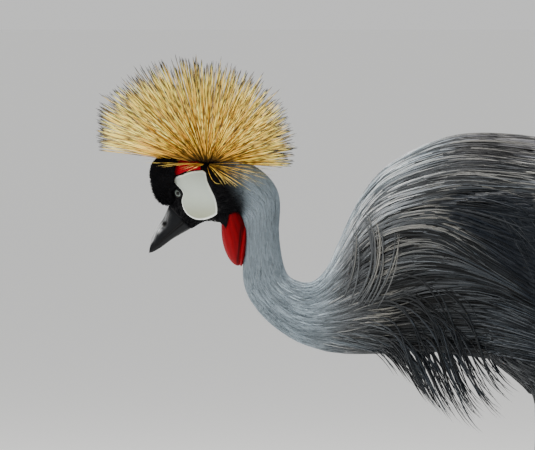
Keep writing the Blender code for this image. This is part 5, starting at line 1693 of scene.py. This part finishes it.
flightForm = {
    "count": 13,
    "tipX": (0.352, 0.418),
    "tipY": (0.0360, 0.0085),
    "tipZ": (0.342, 0.428),
    "apart": 0.0006,
    "width": 0.024,
    "under": 0.0080,  # how far they lie under the coverts
    "comingOut": (0.285, 0.335),  # over which x they come out from under them
    # roots and tips of the straw feathers draped over them, and of the slate ones beside the rump
    "draped": (
        ((0.2500, 0.0620, 0.4700), (0.4300, 0.0225, 0.4420)),
        ((0.2450, 0.0600, 0.4780), (0.4460, 0.0140, 0.4340)),
        ((0.2400, 0.0590, 0.4850), (0.4360, 0.0080, 0.4480)),
        ((0.2350, 0.0640, 0.4880), (0.4100, 0.0180, 0.4520)),
        ((0.2300, 0.0680, 0.4800), (0.4000, 0.0270, 0.4460)),
    ),
    "besideRump": (
        ((0.2550, 0.0400, 0.4960), (0.3620, 0.0140, 0.4540)),
        ((0.2500, 0.0440, 0.4900), (0.3700, 0.0200, 0.4470)),
        ((0.2500, 0.0500, 0.4800), (0.3640, 0.0280, 0.4440)),
    ),
}


# A curve that bows from the straight line between root and tip by a parabola and passes through middle.
def featherCurve(root, middle, tip, stations):
    t = np.linspace(0, 1, stations)[None, :, None]
    ends = (1 - t) * root[:, None] + t * tip[:, None]
    return ends + 4 * t * (1 - t) * (middle - (root + tip) / 2)[:, None]


# Flight feathers in a closed fan, black below and chestnut above, each outside the one under it.
def makeFlight(side, suffix, label):
    form, stations = flightForm, 16
    count = form["count"]
    share = np.linspace(0, 1, count)
    root = wingPoint(np.full(count, 5.3), -0.80 + 1.55 * share, side, -0.0050)
    tip = np.stack([
        form["tipX"][0] + (form["tipX"][1] - form["tipX"][0]) * np.sin(share * 2.2),
        -side * (form["tipY"][0] + form["tipY"][1] * share),
        form["tipZ"][0] + (form["tipZ"][1] - form["tipZ"][0]) * share,
    ], axis=-1)
    middle = (root + tip) / 2 + np.array([0.0, -side * 0.005, 0.004])
    path = featherCurve(root, middle, tip, stations)
    path[..., 1] += -side * (form["apart"] * np.arange(count))[:, None]
    path[..., 1] += side * form["under"] * (1 - ramp(path[..., 0], *form["comingOut"]))
    up = np.broadcast_to(np.array([0.05, -side * 1.0, 0.15]), path.shape)
    span = form["width"] * profile(stations, "round")[None] * np.ones((count, 1))
    base = mix(shade("soot"), shade("chestnut"), ramp(share, 0.25, 0.45))[:, None] + 0 * path
    home = np.stack([0.2 + 0.6 * share, np.full(count, 0.3)], axis=-1)
    vanesMesh("flightFeathers" + label, path, up, span, span * 0.05 + 0.0003, base * 0.7, base * 1.2, home,
              plumage, "chestnut", ("flight_feathers_" + suffix,))


# Narrow feathers over the flight feathers, their roots and tips read between the named ones and shaken.
def makeDraped(name, ends, count, width, first, last, side):
    stations = 16
    share = np.linspace(0, 1, count)
    ends = readRows(np.array(ends).reshape(-1, 6), share * (len(ends) - 1)).reshape(count, 2, 3)
    ends = ends + np.random.default_rng(91).normal(0, 1, ends.shape) * np.array([0.006, 0.0012, 0.0030])
    root, tip = ends[:, 0] * np.array([1, -side, 1]), ends[:, 1] * np.array([1, -side, 1])
    middle = (root + tip) / 2 + np.array([0.0, -side * 0.004, 0.010])
    path = featherCurve(root, middle, tip, stations)
    up = np.broadcast_to(np.array([0.1, -side * 0.8, 0.6]), path.shape)
    span = width * profile(stations, "lance")[None] * np.ones((count, 1))
    base = mix(first + np.zeros((count, 3)), last, share)[:, None] + 0 * path
    home = np.stack([0.2 + 0.6 * share, np.full(count, 0.6)], axis=-1)
    vanesMesh(name, path, up, span, span * 0.07 + 0.0003, base * 0.8, base * 1.2, home, plumage, "chestnut")


tailForm = {
    "count": 14,
    "root": (0.300, 0.0016, 0.4700, 0.012),  # x, y apart, z, and how much lower the outer ones are
    "tip": (0.4600, 0.0032, 0.4050, 0.022),
    "outerShorter": 0.030,
    "width": 0.020,
    "light": (0.7, 1.5),
}


# Tail feathers in a closed fan, the middle ones on top, light and dark by turns.
def makeTail():
    form, stations = tailForm, 16
    count = form["count"]
    place = np.arange(count) - (count - 1) / 2
    out = np.abs(place) / count
    rootX, rootApart, rootZ, rootLower = form["root"]
    tipX, tipApart, tipZ, tipLower = form["tip"]
    root = np.stack([np.full(count, rootX), rootApart * place, rootZ - rootLower * out], axis=-1)
    tip = np.stack([tipX - form["outerShorter"] * out, tipApart * place, tipZ - tipLower * out], axis=-1)
    middle = (root + tip) / 2 + np.array([0.0, 0.0, 0.002])
    path = featherCurve(root, middle, tip, stations)
    up = np.broadcast_to(np.array([0.3, 0.0, 1.0]), path.shape)
    span = form["width"] * profile(stations, "round")[None] * np.ones((count, 1))
    base = shade("soot") * np.tile(form["light"], count // 2)[:, None, None] + 0 * path
    home = np.stack([0.2 + 0.6 * np.linspace(0, 1, count), np.full(count, 0.5)], axis=-1)
    vanesMesh("tailFeathers", path, up, span, span * 0.05 + 0.0003, base * 0.8, base * 1.5, home, plumage,
              "chestnut", ("tail",))


for side, suffix, label in bothSides:
    makeWingBody(side, suffix, label)
    makeCoverts(side, label)
    makeFlight(side, suffix, label)
    makeDraped("drapedFeathers" + label, flightForm["draped"], 11, 0.0085, shade("straw"),
               shade("straw") * 0.4 + shade("chestnut") * 0.6, side)
    makeDraped("rumpSideFeathers" + label, flightForm["besideRump"], 9, 0.0100, shade("slate"),
               shade("brownGrey"), side)
makeTail()
report("wings and tail")


# Floor, light and camera
studio = {
    "floorShade": (0.96, 0.96, 0.95),
    "floorRadius": 40,
    "skyShade": (0.87, 0.87, 0.865),
    "skyStrength": 0.85,
    "aim": (0.0, 0.0, 0.45),
    # name, place, size, power, colour
    "lamps": (
        ("keyLamp", (-1.3, -1.6, 3.2), 1.2, 150, (1.0, 0.98, 0.95)),
        ("topLamp", (0.1, 0.7, 3.2), 1.4, 190, (1.0, 0.98, 0.94)),
        ("backLamp", (-2.2, 1.8, 1.8), 1.4, 30, (1.0, 1.0, 1.0)),
    ),
}
camera = {
    "aim": (-0.2535, 0.0, 0.5095),
    "distance": 14.0,
    "elevation": 2.0,
    "frameWidth": 0.631,
    "sensor": 36,
}


# Turns a lamp or the camera at place so that its own -Z looks at aim.
def pointAt(thing, place, aim):
    thing.location = place
    thing.rotation_euler = Vector(aim - place).to_track_quat("-Z", "Y").to_euler()


# A round pale floor, a pale sky and soft square lamps.
def makeStudio():
    mesh = bpy.data.meshes.new("floor")
    turn = np.linspace(0, 2 * np.pi, 96, endpoint=False)
    rim = np.stack([np.cos(turn), np.sin(turn), 0 * turn], axis=-1) * studio["floorRadius"]
    mesh.from_pydata(rim.tolist(), [], [tuple(range(len(rim)))])
    made, _, _, shader = newMaterial("paleFloor", 0.8)
    shader.inputs["Base Color"].default_value = (*studio["floorShade"], 1)
    mesh.materials.append(made)
    floor = bpy.data.objects.new("floor", mesh)
    bpy.context.scene.collection.objects.link(floor)
    world = bpy.data.worlds.new("paleSky")
    world.use_nodes = True
    world.node_tree.nodes["Background"].inputs["Color"].default_value = (*studio["skyShade"], 1)
    world.node_tree.nodes["Background"].inputs["Strength"].default_value = studio["skyStrength"]
    bpy.context.scene.world = world
    for name, place, size, power, colour in studio["lamps"]:
        lamp = bpy.data.lights.new(name, "AREA")
        lamp.size = size
        lamp.energy = power
        lamp.color = colour
        holder = bpy.data.objects.new(name, lamp)
        pointAt(holder, np.array(place), np.array(studio["aim"]))
        bpy.context.scene.collection.objects.link(holder)


# The camera on the bird's left, raised by its elevation, with a long lens that sees frameWidth at the bird.
def makeCamera():
    lens = bpy.data.cameras.new("camera")
    lens.sensor_width = camera["sensor"]
    lens.lens = camera["sensor"] * camera["distance"] / camera["frameWidth"]
    lens.clip_end = 200
    holder = bpy.data.objects.new("camera", lens)
    rise = np.radians(camera["elevation"])
    aim = np.array(camera["aim"])
    pointAt(holder, aim + camera["distance"] * np.array([0, -np.cos(rise), np.sin(rise)]), aim)
    bpy.context.scene.collection.objects.link(holder)
    bpy.context.scene.camera = holder


makeStudio()
makeCamera()
report("studio")
